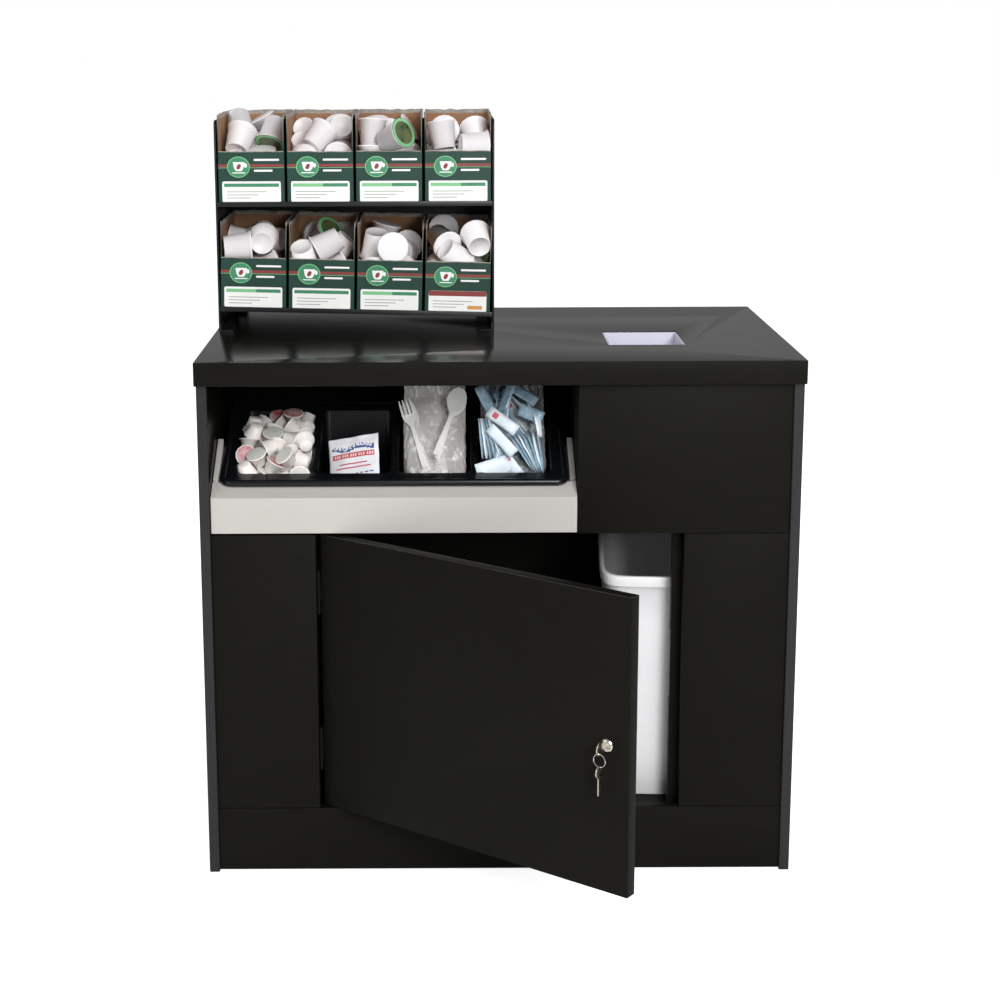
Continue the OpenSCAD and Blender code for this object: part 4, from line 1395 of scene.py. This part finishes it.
    def _print(self, mould: Mould) -> None:
        """Prints a plain design on the front: a band, a round badge with a cup, and a label.

        Args:
            mould: The mesh that takes it.
        """
        red, pale, paper, band, grey, amber = range(3, 9)
        w = self.width
        mould.flat(round_outline(0.3, w - 0.3, 62, 66.5, 0.2), 0.12, red)
        mould.flat(round_outline(0.3, w - 0.3, 60.4, 61.2, 0.2), 0.12, pale)
        mould.flat(disc_outline(33, 62, 18.5, 17), 0.2, pale)
        mould.flat(disc_outline(33, 62, 17.2, 15.7), 0.28, band)
        mould.flat([(24, 70), (26, 60), (29, 55.5), (38, 55.5), (41, 60), (43, 70)], 0.36, paper)
        mould.flat(disc_outline(44.4, 64.5, 2.6, 3.6), 0.34, paper)
        mould.flat(disc_outline(33.4, 62.6, 3.2, 4.9, -30), 0.42, red)
        mould.flat(round_outline(23, 44, 51.8, 53.4, 0.7), 0.36, paper)
        for x0, x1, z in ((58, 99, 72), (58, 88, 54.5)):
            mould.flat(round_outline(x0, x1, z, z + 3.2, 1.2), 0.2, paper)
        top = 39.0
        mould.flat(round_outline(6, w - 6, 5, top, 3), 0.12, paper)
        if self.label is Label.WARM:
            mould.flat(round_outline(6.2, w - 6.2, top - 8.5, top - 0.2, 1.5), 0.2, red)
            mould.flat(round_outline(70, 94, 9, 15, 1), 0.2, amber)
        else:
            halved = self.label is Label.SPLIT
            split = 58 if halved else w - 9
            mould.flat(round_outline(9, split, top - 9, top - 3.5, 0.6), 0.2, pale if halved else band)
            if halved:
                mould.flat(round_outline(split, w - 9, top - 9, top - 3.5, 0.6), 0.2, band)
        for z, x1 in ((21.5, 78), (16.5, 64), (11.5, 52)):
            mould.flat(round_outline(13, x1, z, z + 1.3, 0.4), 0.2, grey)

    def _pods(self) -> None:
        """Fills the carton with pods as they come to rest when poured in."""
        mould = Mould(self.place)
        side = [(16.6, -21.2), (17.3, -22.5), (18.5, -22.3), (22.8, 19.6), (25.5, 20.3), (25.5, 22.0),
                (24.4, 22.5), (19.5, 22.5)]
        shown = None
        if self.green:
            shown = max((cup for cup in self.cups if cup.translation.z > self.front),
                        key=lambda cup: 12 * cup.col[2].z - 45 * cup.col[2].y - 0.3 * cup.translation.y)
        for cup in self.cups:
            green = cup is shown
            mould.turned(side, cup, 18, (0, 0, 0, 0, 0, 2 if green else 1, 3 if green else 1,
                                         2 if green else 1))
        mould.piece(f"pods_{self.row}_{self.number}", "rack",
                    [POD_PLASTIC, WHITE_FOIL, GREEN_FOIL, PALE_INK])


@dataclass
class Rack:
    """The two-tier rack of sheet steel with its eight cartons.

    Attributes:
        heaps: Places of the pods in each carton, by its number from 0.
        green: Numbers of the cartons that hold a pod with a green lid.
        seed: Seed of the way the first carton's pods fall; the others count on from it.
        labels: The cartons' labels, from the left, the upper row first.
    """

    heaps: dict[str, list[Matrix]] = field(default_factory=dict)
    green: tuple[int, ...] = (0, 2, 5, 7)
    seed: int = 9
    labels: tuple[Label, ...] = (Label.SOLID, Label.SPLIT, Label.SPLIT, Label.SPLIT,
                                 Label.SPLIT, Label.SOLID, Label.SPLIT, Label.WARM)

    def holders(self) -> dict[str, Holder]:
        """Gives the cartons as holders for their pods."""
        return {f"carton_{n}": Carton("upper", 1, label).holder(n + self.seed)
                for n, label in enumerate(self.labels)}

    def build(self) -> None:
        """Dresses the rack's sheets and stands the cartons on its shelves."""
        for node in ("rack_plate_left", "rack_plate_right", "rack_shelf_upper",
                     "rack_shelf_lower", "rack_feet"):
            softened(node, BLACK_ENAMEL, 0.5)
        paint(BLACK_ENAMEL, "rack_back")
        for n, label in enumerate(self.labels):
            Carton("upper" if n < 4 else "lower", n % 4 + 1, label, self.heaps[f"carton_{n}"],
                   n in self.green).build()


@dataclass
class Studio:
    """The floor, the lamps and the camera at the photograph's viewing angle.

    Attributes:
        eye: Where the camera stands, in metres.
        pitch: How far it looks down, in radians.
        roll: How far it is rolled, in radians.
        focal_px: Its focal length in pixels.
        shift: Its shift, as shares of the picture.
        image_px: Width of the picture in pixels.
        sensor_mm: Width of the sensor.
        ambient: Strength of the surroundings' light.
        mirrored: Their strength in reflections.
    """

    eye: Point = (-0.09006, -2.85729, 1.29364)
    pitch: float = 0.19434
    roll: float = -0.00423
    focal_px: float = 1871.55
    shift: Flat = (0.06, -0.1)
    image_px: float = 1000.0
    sensor_mm: float = 36.0
    ambient: float = 0.35
    mirrored: float = 0.26

    def build(self) -> None:
        """Sets up the whole studio."""
        self._camera()
        self._floor()
        self._world()
        self._lamp("key", (0.8, -2.9, 2.7), (0.0, 0.0, 0.55), 1.6, 62)
        self._lamp("fill", (-2.4, -2.2, 1.8), (0.0, 0.0, 0.5), 2.0, 20)
        self._lamp("front", (0.8, -3.1, 1.6), (0.0, 0.0, 0.5), 0.7, 45)
        self._lamp("back_left", (-2.2, 2.4, 2.2), (0.0, 0.0, 0.6), 1.8, 26)
        self._lamp("back_right", (2.3, 2.2, 2.4), (0.0, 0.0, 0.6), 1.8, 30)
        bpy.context.scene.view_settings.view_transform = "Standard"

    def _camera(self) -> None:
        """Makes the camera."""
        data = bpy.data.cameras.new("view")
        data.sensor_width = self.sensor_mm
        data.lens = self.focal_px / self.image_px * self.sensor_mm
        data.shift_x, data.shift_y = self.shift
        data.clip_end = 50
        camera = linked("view", data)
        camera.matrix_world = (Matrix.Translation(self.eye)
                               @ Matrix.Rotation(math.pi / 2 - self.pitch, 4, "X")
                               @ Matrix.Rotation(self.roll, 4, "Z"))
        bpy.context.scene.camera = camera

    @staticmethod
    def _backdrop(tree: Tree, plain: float, mirrored: float) -> Socket:
        """Adds a strength that is 1 to the camera and through glass, and softer in reflections.

        Args:
            tree: The material's or world's node tree.
            plain: Strength for the light that falls on the object.
            mirrored: Strength in reflections.

        Returns:
            The strength.
        """
        rays = add_node(tree, "ShaderNodeLightPath").outputs
        seen = maths(tree, "MAXIMUM", rays["Is Camera Ray"], rays["Is Transmission Ray"])
        glossy = maths(tree, "MULTIPLY", rays["Is Glossy Ray"], mirrored - plain)
        white = maths(tree, "MULTIPLY", seen, 1 - plain)
        return maths(tree, "ADD", maths(tree, "ADD", white, glossy), plain)

    def _floor(self) -> None:
        """Lays a white floor that still takes the object's shadow."""
        bm = bmesh.new()
        bmesh.ops.create_grid(bm, x_segments=1, y_segments=1, size=14)
        mesh = bpy.data.meshes.new("floor")
        bm.to_mesh(mesh)
        bm.free()
        material = bpy.data.materials.new("white_studio_floor")
        material.use_nodes = True
        tree = material.node_tree
        shader = tree.nodes["Principled BSDF"]
        shader.inputs["Base Color"].default_value = linear("#f4f4f4")
        shader.inputs["Roughness"].default_value = 0.9
        shader.inputs["Specular IOR Level"].default_value = 0.0
        shader.inputs["Emission Color"].default_value = linear("#ffffff")
        lift = self._backdrop(tree, 0.0, 0.2)
        tree.links.new(maths(tree, "MULTIPLY", lift, 0.78), shader.inputs["Emission Strength"])
        mesh.materials.append(material)
        linked("floor", mesh)

    def _world(self) -> None:
        """Makes the surroundings white to the camera and soft on the object."""
        world = bpy.data.worlds.new("studio")
        bpy.context.scene.world = world
        world.use_nodes = True
        tree = world.node_tree
        tree.nodes.clear()
        glow = add_node(tree, "ShaderNodeBackground", None,
                        {"Color": linear("#ffffff"),
                         "Strength": self._backdrop(tree, self.ambient, self.mirrored)})
        add_node(tree, "ShaderNodeOutputWorld", None, {"Surface": glow.outputs[0]})

    def _lamp(self, name: str, place: Point, aim: Point, size: float, watts: float) -> None:
        """Adds a square soft lamp.

        Args:
            name: The lamp's name.
            place: Where it hangs.
            aim: The point that it faces.
            size: Its side in metres.
            watts: Its power.
        """
        data = bpy.data.lights.new(name, "AREA")
        data.size = size
        data.energy = watts
        lamp = linked(name, data)
        direction = Vector(aim) - Vector(place)
        lamp.matrix_world = (Matrix.Translation(place)
                             @ direction.to_track_quat("-Z", "Y").to_matrix().to_4x4())


def main() -> None:
    """Builds the sub-assemblies in order."""
    logging.basicConfig(level=logging.INFO, format="%(name)s: %(message)s")
    stock, rack = Stock(), Rack()
    rack.heaps = Pour().settle(rack.holders() | {"creamers": stock.holder()})
    stock.creamers = rack.heaps.pop("creamers")
    for part in (Studio(), Carcass(), Door(), WasteBasket(), CondimentBin(stock=stock), rack):
        part.build()
        LOG.info("%s is built", type(part).__name__)


if __name__ == "__main__":
    main()
